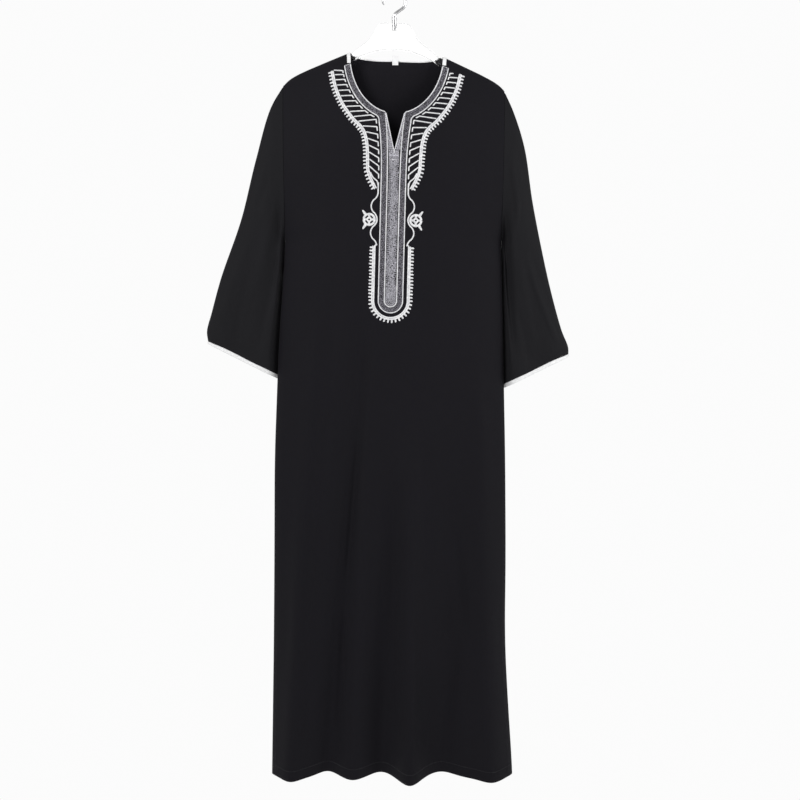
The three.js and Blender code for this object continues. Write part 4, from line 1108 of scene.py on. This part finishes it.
def seeds(places, ways, length, width, height, lift=0.05):
    """Small pillow stitches: a flat ring of six corners, one raised centre and one sunk under it."""
    angle = np.arange(6) * np.pi / 3
    cos, sin = np.cos(angle), np.sin(angle)
    ways = unit(ways)
    acrosses = np.stack([ways[:, 1], -ways[:, 0]], -1)
    length, width, height = (np.broadcast_to(v, len(places))[:, None] for v in (length, width, height))
    ring = (places[:, None] + ways[:, None] * (length * cos)[..., None] / 2
            + acrosses[:, None] * (width * sin)[..., None] / 2)
    flat = np.concatenate([ring, places[:, None], places[:, None]], 1)
    points = on_front(flat)
    points[:, :6, 1] -= lift + height * 0.45
    points[:, 6, 1] -= lift + height[:, 0]
    points[:, 7, 1] += 0.2
    k = np.arange(6)
    nxt = (k + 1) % 6
    tops = np.stack([k, nxt, 0 * k + 6], -1)
    lows = np.stack([nxt, k, 0 * k + 7], -1)
    one = np.concatenate([tops, lows])
    body = points[0]
    outward = enclosed(body - body.mean(0), one) > 0
    polygons = (np.arange(len(places))[:, None, None] * 8 + flip(one, outward)[None]).reshape(-1, 3)
    return points.reshape(-1, 3), [polygons]


def seed_rows(lines, pitch, length, width, height, noise, keep=1.0, jitter=0.35):
    """Rows of seeds along lines, each moved a little at random. Gives the places, ways and sizes."""
    places, ways = [], []
    for line in lines:
        count = mean_by(line, pitch)
        at = evenly(line, count)
        way = unit(np.gradient(at, axis=0))
        at = at + noise.uniform(-jitter, jitter, at.shape)
        chosen = noise.random(count) < keep
        places.append(at[chosen])
        ways.append(way[chosen])
    places, ways = np.concatenate(places), np.concatenate(ways)
    count = len(places)
    spread = lambda v: v * noise.uniform(0.8, 1.2, count)
    return places, ways, spread(length), spread(width), spread(height)


def ground_strip(rails, lift):
    """A thin closed strip of ground cloth between two rails, a little above the front."""
    left, right = (evenly(r, 500) for r in rails)
    f = np.linspace(0, 1, 7)[None, :, None]
    flat = left[:, None] * (1 - f) + right[:, None] * f
    top = on_front(flat)
    low = top.copy()
    top[..., 1] -= lift
    low[..., 1] += 0.15
    rings = np.concatenate([top, low[:, ::-1]], 1)
    return closed_tubes(rings[None])


def make_band():
    """The grey band and placket: ground strips, filling stitches, white satin edges and needle dots."""
    noise = np.random.default_rng(11)
    ground = [ground_strip((band_rail(0.06), band_rail(0.97)), 0.35)]
    middle = band_rail(0.96, half=True)
    below = middle[middle[:, 1] > SLIT["bottom"] + 2]
    ground.append(ground_strip((below, mirrored(below)), 0.3))
    inner = middle[(middle[:, 1] > 119) & (middle[:, 1] < SLIT["bottom"] + 4)]
    edge = slit_edge(0.4)
    for turn in SIDES:
        ground.append(ground_strip((turn(inner), turn(edge)), 0.3))
    points, polygons = join(*ground)
    flat = np.stack([points[:, 0], points[:, 2], 0 * points[:, 0]], -1)
    base = new_object("band_ground", points, polygons, finish_for("ground"), flat)
    settle(base, "grey_thread", "neck_band")

    lines = [band_rail(share) for share in np.linspace(0.2, 0.85, 7)]
    fill = seeds(*seed_rows(lines, 1.75, 1.7, 1.2, 0.7, noise, keep=0.8), 0.3)
    tone = np.repeat(noise.random(len(fill[0]) // 8) ** 1.3, 8)
    make_stitches("band_filling", *fill, "grey", "grey_thread", tone)

    fill = seeds(*middle_rows(noise), 0.3)
    tone = np.repeat(noise.random(len(fill[0]) // 8), 8)
    make_stitches("placket_filling", *fill, "panel", "grey_thread", tone)
    dots = seeds(*needle_dots(noise), 1.1)
    make_stitches("needle_dots", *dots, "black_thread", "grey_thread", BLACK_TONE)

    height = sizes().satin_height / MM
    whites = [satin_line(band_rail(0.08), 1.1, height), satin_line(band_rail(0.96), 1.15, height)]
    rim = slit_edge(0.8)
    whites += [satin_line(turn(rim), 0.8, height * 0.9) for turn in SIDES]
    whites.append(satin_line(np.array([[0, SLIT["bottom"] - 3], [0, SLIT["bottom"] + 7.0]]), 1.2, height))
    whites.append(satin_line(np.array([[-4.4, 206.0], [4.4, 206.0]]), 0.8, height * 0.9))
    whites += arm_ends(height)
    points, polygons = join(*whites)
    make_stitches("band_satin", points, polygons, "thread", "white_thread", tones(points, noise))
    return base


def arm_ends(height):
    """Short satin bars that close the top of both arms of the band."""
    line = np.array([band_rail(0.05, True)[0], band_rail(0.98, True)[0]])
    return [satin_line(turn(line), 0.7, height * 0.7) for turn in SIDES]


def middle_rows(noise):
    """Filling stitches of the placket's middle: upright rows, rows beside the slit's edge and a patch
    below it."""
    top, low = SLIT["bottom"] + 8, BAND["bottom"]
    rows = []
    for p in np.arange(-8.6, 8.7, 1.72):
        end = low + np.sqrt(max(0, 10.0 ** 2 - p ** 2)) - 1.4
        rows.append(np.array([[p, top + 2 * noise.random()], [p, end]]))
    parts = [seed_rows(rows, 1.95, 1.9, 1.5, 0.75, noise, keep=0.97, jitter=0.16)]
    for turn in SIDES:
        for off, first in ((1.9, 0), (3.1, 0), (4.6, 150), (6.2, 162), (7.8, 172), (9.4, 180)):
            strip = slit_edge(off)
            row = turn(strip[strip[:, 1] > first])
            parts.append(seed_rows([row], 1.8, 1.8, 1.5, 0.75, noise, jitter=0.12))
    patch = [np.array([[p, SLIT["bottom"] + 0.5], [p, SLIT["bottom"] + 10]])
             for p in np.arange(-9.2, 9.3, 1.6)]
    parts.append(seed_rows(patch, 1.9, 1.8, 1.5, 0.75, noise, jitter=0.15))
    return [np.concatenate([part[k] for part in parts]) for k in range(5)]


def needle_dots(noise):
    """Needle dots of the placket: pairs of upright rows beside its white lines, on uneven stretches, and
    a small half circle of them near the lower end."""
    parts = []
    sides = ((-1, ((212, 398), (420, 446))),
             (1, ((212, 262), (286, 330), (348, 400), (412, 450))))
    for side, stretches in sides:
        for p in (8.6, 6.0):
            rows = [np.array([[side * p, low + 6 * noise.random()], [side * p, high - 12 * noise.random()]])
                    for low, high in stretches]
            parts.append(seed_rows(rows, 3.6, 2.0, 1.8, 0.3, noise, keep=0.9, jitter=0.15))
    for turn in SIDES:
        parts.append(seed_rows([turn(slit_edge(3.1))], 3.4, 1.7, 1.5, 0.3, noise, keep=0.9, jitter=0.12))
    angle = np.linspace(0.15, np.pi - 0.15, 40)
    end = np.stack([6.4 * np.cos(angle), BAND["bottom"] - 1 + 6.4 * np.sin(angle)], -1)
    parts.append(seed_rows([end], 3.1, 1.8, 1.6, 0.3, noise, jitter=0.1))
    return [np.concatenate([part[k] for part in parts]) for k in range(5)]


def tones(points, noise, size=3.2):
    """A shade for each point that changes every few mm, from the point's place."""
    cell = np.floor(points / size).astype(int)
    number = (cell[:, 0] * 73 + cell[:, 2] * 151) % 64
    return noise.random(64)[number]


def comb_roots(line, count):
    """Places of a comb's teeth on its middle line and the direction away from them."""
    at = evenly(line, 2 * count + 1)
    tangent = unit(np.gradient(at, axis=0))
    return at[1::2], np.stack([-tangent[:, 1], tangent[:, 0]], -1)[1::2]


def teeth(roots, normal, half, noise):
    """Rounded satin teeth on one side of a spine, uneven in length and lean."""
    near = roots - normal * (COMB["spine"] / 2 - 0.8)
    far = COMB["spine"] / 2 + COMB["tooth"] * noise.uniform(0.9, 1.06, len(roots))
    tips = roots - normal * far[:, None] + noise.uniform(-0.3, 0.3, roots.shape)
    f = np.linspace(0, 1, 22)[None, :, None]
    return satin(near[:, None] * (1 - f) + tips[:, None] * f, half, sizes().satin_height / MM, blunt=1.0,
                 slant=0.2)


def spine(line, rows, width, height):
    """Rows of satin side by side along a line."""
    step = width / rows
    offs = (np.arange(rows) - (rows - 1) / 2) * step
    return [satin_line(beside(line, off), step * 0.5, height, slant=0.5 * (-1) ** k)
            for k, off in enumerate(offs)]


def rungs(line, height, whole):
    """Satin rungs from the spine to a corner near the band, each with a hook that runs on beside the band.
    They stand closer together near the top: their share of the run is a power of their number. Unless the
    ladder is whole, its first rung is only a hook."""
    edge = beside(band_edge(BAND["outer"], True), LADDER["reach"])
    corners = edge[(edge[:, 1] > 34.6) & (edge[:, 1] < 246)]
    run = lengths(corners)[-1]
    inner = beside(line, -COMB["spine"] / 2)
    inner = inner[inner[:, 1] < 232]
    made = []
    for k in range(LADDER["rungs"]):
        share = k / (LADDER["rungs"] - 1)
        start = evenly(inner, 2, (share ** 1.1 * 0.94, 1))[0] - np.array([0, 0.6])
        at = share ** 1.18 * 0.955
        corner, foot = (evenly(corners, 2, (min(0.999, at + more), 1))[0]
                        for more in (0, LADDER["hook"] * mix(0.6, 1, min(1, 2 * share)) / run))
        if k == 0 and not whole:
            start = mix(start, corner, 0.6)
        bend = [mix(start, corner, 0.92), mix(start, corner, 0.985), mix(corner, foot, 0.08)]
        made.append(satin_line(np.array([start, *bend, foot]), LADDER["width"] / 2, height * 0.9, slant=0.3))
    return made


def make_upper_comb(side):
    """A comb beside the neck: two satin rows, rounded teeth outside and hooked rungs inside."""
    noise = np.random.default_rng(21 if side == "left" else 22)
    height = sizes().satin_height / MM
    line = curve(UPPER_COMB, 400)
    parts = spine(line, 2, COMB["spine"], height * 0.9)
    parts.append(teeth(*comb_roots(line, COMB["upper_teeth"]), 1.75, noise))
    parts += rungs(line, height, side == "right")
    # The inner thread of the spine runs on into the wavy line below.
    link = curve([(43.8, 230), (38.2, 240), (30.6, 247), (28.3, 256)], 60)
    parts.append(satin_line(link, 1.3, height * 0.9))
    points, polygons = join(*parts)
    if side == "right":
        points, polygons = mirror_on_front(points, polygons)
    return make_stitches(f"comb_upper_{side}_stitches", points, polygons, "thread", "white_thread",
                         tones(points, noise), f"comb_upper_{side}")


def mirror_on_front(points, polygons):
    """Stitches laid on the other side of the neck's middle line, with the same height over the cloth."""
    x, z = points[:, 0], points[:, 2]
    lean = NECK["lean"]
    dx, dz = x - NECK["x"], NECK["z"] - z
    q = (dz - lean * dx) / (1 + lean ** 2)
    p = dx + lean * q
    above = points[:, 1] - front_y(x, z)
    new_x, new_z = from_neck(-p, q)
    moved = np.stack([new_x, front_y(new_x, new_z) + above, new_z], -1)
    return moved, [polygon[:, ::-1] for polygon in polygons]


def make_lower_comb():
    """The comb round the end of the placket: a smooth satin spine and teeth all round its outside."""
    noise = np.random.default_rng(31)
    height = sizes().satin_height / MM
    half = LOWER_COMB["inner"] + COMB["spine"] / 2
    turn = np.linspace(0, np.pi, 60)
    ends = np.linspace(LOWER_COMB["top"], LOWER_COMB["centre"], 40)
    right = np.stack([0 * ends + half, ends], -1)
    bottom = np.stack([half * np.cos(turn), LOWER_COMB["centre"] + half * np.sin(turn)], -1)
    line = np.concatenate([right, bottom[1:-1], mirrored(right)[::-1]])
    parts = spine(line, 2, COMB["spine"], height)
    parts.append(teeth(*comb_roots(line, COMB["lower_teeth"]), 1.75, noise))
    hook = np.array([[29.0, 365.0], [LOWER_COMB["inner"] + 2.5, 369.5]])
    parts += [satin_line(turn(hook), 1.3, height * 0.9) for turn in SIDES]
    points, polygons = join(*parts)
    return make_stitches("comb_lower_stitches", points, polygons, "thread", "white_thread",
                         tones(points, noise), "comb_lower")


def make_scroll(side):
    """A wavy satin line: straight down from the comb, then a cosine wave with blunted crests and a slower
    one added to it, beside the placket."""
    noise = np.random.default_rng(41)
    q = np.linspace(SCROLL["start"], SCROLL["end"], 160)
    turn = 2 * np.pi * (q - SCROLL["start"]) / SCROLL["wave"]
    swing = np.sign(np.cos(turn)) * np.abs(np.cos(turn)) ** 0.75
    wave = SCROLL["middle"] - SCROLL["swing"] * swing + SCROLL["lean"] * (1 - np.cos(turn / 2))
    top = np.linspace(SCROLL["top"] - 4, SCROLL["start"] - 2, 12)
    line = np.concatenate([np.stack([0 * top + wave[0], top], -1), np.stack([wave, q], -1)])
    line = line if side == "left" else mirrored(line)
    points, polygons = satin_line(line, SCROLL["width"] / 2, sizes().satin_height / MM)
    return make_stitches(f"scroll_{side}_stitches", points, polygons, "thread", "white_thread",
                         tones(points, noise), f"scroll_{side}")


def make_medallion(side):
    """A medallion: an outer and an inner satin ring, four spokes between them and two pointed arms."""
    noise = np.random.default_rng(51)
    height = sizes().satin_height / MM
    centre = np.array([MEDALLION["p"], MEDALLION["q"]])
    turn = np.linspace(0, 2 * np.pi, 121)
    circle = lambda radius: centre + radius * np.stack([np.cos(turn), np.sin(turn)], -1)
    ray = lambda angle, near, far: (
        centre + np.array([[near], [far]]) * np.array([[np.cos(angle), np.sin(angle)]]))
    middle = MEDALLION["radius"] - MEDALLION["ring"] / 2
    parts = [satin_line(circle(middle), MEDALLION["ring"] / 2, height),
             satin_line(circle(3.3), 1.9, height * 0.9)]
    parts += [satin_line(ray(k * np.pi / 2, 3.4, middle - 1.0), 2.3, height * 0.85) for k in range(4)]
    for angle, far in MEDALLION["tips"]:
        line = evenly(ray(angle, MEDALLION["radius"] - 2.2, far), 36)
        parts.append(satin(line[None], np.linspace(3.2, 1.5, 36)[None], height, blunt=1.2))
    points, polygons = join(*parts)
    if side == "right":
        points, polygons = mirror_on_front(points, polygons)
    return make_stitches(f"medallion_{side}_stitches", points, polygons, "thread", "white_thread",
                         tones(points, noise), f"medallion_{side}")


# ---- Hanger -----------------------------------------------------------------------------------
def make_hanger():
    """The hanger's body: an upright section with a round top and foot, carried from tip to tip."""
    out = np.concatenate([np.linspace(0, 5.4, 4), np.linspace(5.7, 34, 24), np.linspace(35, 100, 40),
                          np.linspace(103, 204, 36)])
    x = np.concatenate([-out[:0:-1], out])
    off = np.abs(x)
    reach = np.clip((off - 8) * 0.25, 0, 4)
    places = np.stack([off + reach * f for f in (-1, -0.5, 0, 0.5, 1)])
    top = np.mean([along(HANGER, "out", "top", row) for row in places], 0) - FALL * x
    low = np.mean([along(HANGER, "out", "low", row) for row in places], 0) - FALL * x
    slim = mix(1, 0.8, smooth(off, 190, 204))
    half = HANGER_HALF * slim
    crown = np.minimum(half, (top - low) / 2.2)
    up = np.linspace(0, np.pi, 13)
    foot = np.linspace(np.pi, 2 * np.pi, 9)
    y = np.concatenate([half[:, None] * np.cos(up), half[:, None] * np.sign(np.cos(foot))
                        * np.abs(np.cos(foot)) ** 0.5], 1)
    z = np.concatenate([(top - crown)[:, None] + crown[:, None] * np.sin(up),
                        (low + 2.5)[:, None] + 2.5 * np.sin(foot)[None]], 1)
    rings = np.stack([np.broadcast_to(x[:, None], y.shape), y, z], -1)
    points, polygons = closed_tubes(rings[None])
    piece = new_object("hanger_plastic", points, polygons, finish_for("plastic"))
    piece.data.set_sharp_from_angle(angle=0.9)
    return settle(piece, "white_plastic", "hanger_body")


def make_hook():
    """The hook: a ferrule, a straight shank, and a wire bent round three quarters of a circle."""
    centre = HOOK["wire"] - HOOK["radius"]
    circle = lambda angle: np.stack(
        [HOOK["radius"] * np.cos(angle), centre + HOOK["radius"] * np.sin(angle)], -1)
    t = np.linspace(0, 1, 16)[1:, None]
    start, lift = np.array([0, HOOK["shank"]]), np.array([0, HOOK["shank"] + 7])
    end = circle(np.array(-0.55))
    near = circle(np.array(-0.75)) + np.array([-6, -5])
    bend = (1 - t) ** 3 * start + 3 * (1 - t) ** 2 * t * lift + 3 * (1 - t) * t ** 2 * near + t ** 3 * end
    turn = circle(np.linspace(-0.55, np.pi + 0.3, 60)[1:])
    foot = np.array([[0, HOOK["bottom"]], [0, HOOK["bottom"] + 1], [0, HOOK["shank"] - 2.5],
                     [0, HOOK["shank"] - 1.2], [0, HOOK["shank"]]])
    line = np.concatenate([foot, bend, turn])
    radii = np.concatenate([[HOOK["ferrule_bottom"]] * 2, [HOOK["ferrule_top"]] * 2,
                            [HOOK["wire"]] * (len(line) - 4)])
    # The last points narrow to a rounded tip.
    radii[-8:] = HOOK["wire"] * np.sqrt(np.clip(1 - (np.arange(8) / 7.2) ** 2, 0.02, 1))
    centres = np.stack([line[:, 0], 0 * line[:, 0], line[:, 1]], -1)[None]
    normals = np.zeros_like(centres)
    normals[..., 1] = -1
    tangent = unit(np.gradient(centres, axis=1))
    side = unit(np.cross(tangent, normals))
    angle = np.linspace(0, 2 * np.pi, 25)[:-1]
    rings = (centres[:, :, None] + side[:, :, None] * (radii[None, :, None] * np.cos(angle))[..., None]
             + normals[:, :, None] * (radii[None, :, None] * np.sin(angle))[..., None])
    points, polygons = closed_tubes(rings)
    piece = new_object("hook_wire", points, polygons, finish_for("metal"))
    piece.data.set_sharp_from_angle(angle=0.9)
    return settle(piece, "grey_metal", "hanger_hook")


# ---- Stage ------------------------------------------------------------------------------------
def area_light(name, place, target, size, power):
    """A soft square lamp aimed at a point."""
    lamp = bpy.data.lights.new(name, "AREA")
    lamp.shape = "SQUARE"
    lamp.size = size
    lamp.energy = power
    made = bpy.data.objects.new(name, lamp)
    made.location = place
    made.rotation_euler = (Vector(target) - Vector(place)).to_track_quat("-Z", "Y").to_euler()
    bpy.context.scene.collection.objects.link(made)


def make_stage():
    """Pale floor, white surroundings that light the piece more weakly than they show, soft lamps, camera."""
    corners = np.array([(-3200, -3600, 0), (3200, -3600, 0), (3200, 1150, 0), (-3200, 1150, 0)], float)
    corners[:, 2] = -1900
    floor = new_object("studio_floor", corners, [np.array([[0, 1, 2, 3]])], finish_for("floor"))
    world = bpy.data.worlds.new("studio")
    world.use_nodes = True
    tree = world.node_tree
    path = tree.nodes.new("ShaderNodeLightPath")
    seen, dimmer = tree.nodes.new("ShaderNodeMath"), tree.nodes.new("ShaderNodeMath")
    seen.operation, dimmer.operation = "MAXIMUM", "MULTIPLY_ADD"
    tree.links.new(path.outputs["Is Camera Ray"], seen.inputs[0])
    tree.links.new(path.outputs["Is Transmission Ray"], seen.inputs[1])
    tree.links.new(seen.outputs[0], dimmer.inputs[0])
    dimmer.inputs[1].default_value, dimmer.inputs[2].default_value = 0.61, 0.36
    tree.links.new(dimmer.outputs[0], tree.nodes["Background"].inputs["Strength"])
    tree.nodes["Background"].inputs["Color"].default_value = (1, 1, 1, 1)
    bpy.context.scene.world = world
    bpy.context.scene.view_settings.view_transform = "Standard"
    middle = (0, 0, -0.7)
    area_light("key", (-2.2, -2.1, 1.1), (0, 0, -0.2), 1.1, 70)
    area_light("side", (2.6, -1.3, 0.2), (0, 0, -0.4), 1.2, 36)
    area_light("near", (1.0, -0.9, -0.3), (0.27, 0, -0.5), 0.4, 2.2)
    area_light("back", (0.6, 2.6, 0.4), middle, 1.6, 22)
    view = bpy.data.cameras.new("camera")
    view.sensor_width = 36
    view.lens = 36 * 2500 / 1520
    view.clip_end = 50
    camera = bpy.data.objects.new("camera", view)
    camera.location = (0.0106, -2.5, -0.775)
    camera.rotation_euler = (np.pi / 2, 0, 0)
    bpy.context.scene.collection.objects.link(camera)
    bpy.context.scene.camera = camera


# ---- Operators --------------------------------------------------------------------------------
class RobeOperator(bpy.types.Operator):
    """Shared by the robe's operators."""

    bl_options = {"REGISTER", "UNDO"}


class ROBE_OT_front(RobeOperator):
    """Make the front panel with its neck opening and slit"""

    bl_idname = "robe.front"
    bl_label = "Front"

    def execute(self, context):
        piece = make_front()
        return {"FINISHED"}


class ROBE_OT_back(RobeOperator):
    """Make the back panel with its shallow neck edge"""

    bl_idname = "robe.back"
    bl_label = "Back"

    def execute(self, context):
        piece = make_back()
        return {"FINISHED"}


class ROBE_OT_sleeves(RobeOperator):
    """Make both sleeves"""

    bl_idname = "robe.sleeves"
    bl_label = "Sleeves"

    def execute(self, context):
        for side in SLEEVES:
            piece = make_sleeve(side)
        return {"FINISHED"}


class ROBE_OT_cuff_bindings(RobeOperator):
    """Make the white binding of both cuffs"""

    bl_idname = "robe.cuff_bindings"
    bl_label = "Cuff bindings"

    def execute(self, context):
        for side in SLEEVES:
            make_binding(side)
        return {"FINISHED"}


class ROBE_OT_neck_tape(RobeOperator):
    """Make the white tape over the shoulders and round the back neck"""

    bl_idname = "robe.neck_tape"
    bl_label = "Neck tape"

    def execute(self, context):
        make_tape()
        return {"FINISHED"}


class ROBE_OT_label(RobeOperator):
    """Make the blank label at the back neck"""

    bl_idname = "robe.label"
    bl_label = "Label"

    def execute(self, context):
        make_label()
        return {"FINISHED"}


class ROBE_OT_band(RobeOperator):
    """Stitch the grey band and placket"""

    bl_idname = "robe.band"
    bl_label = "Neck band"

    def execute(self, context):
        make_band()
        return {"FINISHED"}


class ROBE_OT_combs(RobeOperator):
    """Stitch the three combs and their rungs"""

    bl_idname = "robe.combs"
    bl_label = "Combs"

    def execute(self, context):
        make_upper_comb("left")
        make_upper_comb("right")
        make_lower_comb()
        return {"FINISHED"}


class ROBE_OT_scrolls(RobeOperator):
    """Stitch the wavy lines and the medallions"""

    bl_idname = "robe.scrolls"
    bl_label = "Scrolls and medallions"

    def execute(self, context):
        for side in ("left", "right"):
            make_scroll(side)
            make_medallion(side)
        return {"FINISHED"}


class ROBE_OT_hanger(RobeOperator):
    """Make the plastic hanger and its hook"""

    bl_idname = "robe.hanger"
    bl_label = "Hanger"

    def execute(self, context):
        make_hanger()
        make_hook()
        return {"FINISHED"}


class ROBE_OT_stage(RobeOperator):
    """Make the floor, the light and the camera"""

    bl_idname = "robe.stage"
    bl_label = "Stage"

    def execute(self, context):
        make_stage()
        return {"FINISHED"}


OPERATORS = (ROBE_OT_front, ROBE_OT_back, ROBE_OT_sleeves, ROBE_OT_cuff_bindings, ROBE_OT_neck_tape,
             ROBE_OT_label, ROBE_OT_band, ROBE_OT_combs, ROBE_OT_scrolls, ROBE_OT_hanger, ROBE_OT_stage)


class ROBE_PT_panel(bpy.types.Panel):
    """Lists the robe's settings and operators"""

    bl_idname = "ROBE_PT_panel"
    bl_label = "Robe"
    bl_space_type = "VIEW_3D"
    bl_region_type = "UI"
    bl_category = "Robe"

    def draw(self, context):
        for group in (context.scene.robe_sizes, context.scene.robe_colours):
            column = self.layout.column()
            for name in group.__annotations__:
                column.prop(group, name)
        for operator in OPERATORS:
            self.layout.operator(operator.bl_idname)


CLASSES = (RobeSizes, RobeColours, *OPERATORS, ROBE_PT_panel)


def register():
    """Registers the classes and the scene's settings."""
    for one in CLASSES:
        bpy.utils.register_class(one)
    bpy.types.Scene.robe_sizes = bpy.props.PointerProperty(type=RobeSizes)
    bpy.types.Scene.robe_colours = bpy.props.PointerProperty(type=RobeColours)


def unregister():
    """Removes them again."""
    del bpy.types.Scene.robe_colours
    del bpy.types.Scene.robe_sizes
    for one in reversed(CLASSES):
        bpy.utils.unregister_class(one)


def main():
    """Makes every piece in order."""
    register()
    for operator in OPERATORS:
        module, name = operator.bl_idname.split(".")
        getattr(getattr(bpy.ops, module), name)()


if __name__ == "__main__":
    main()
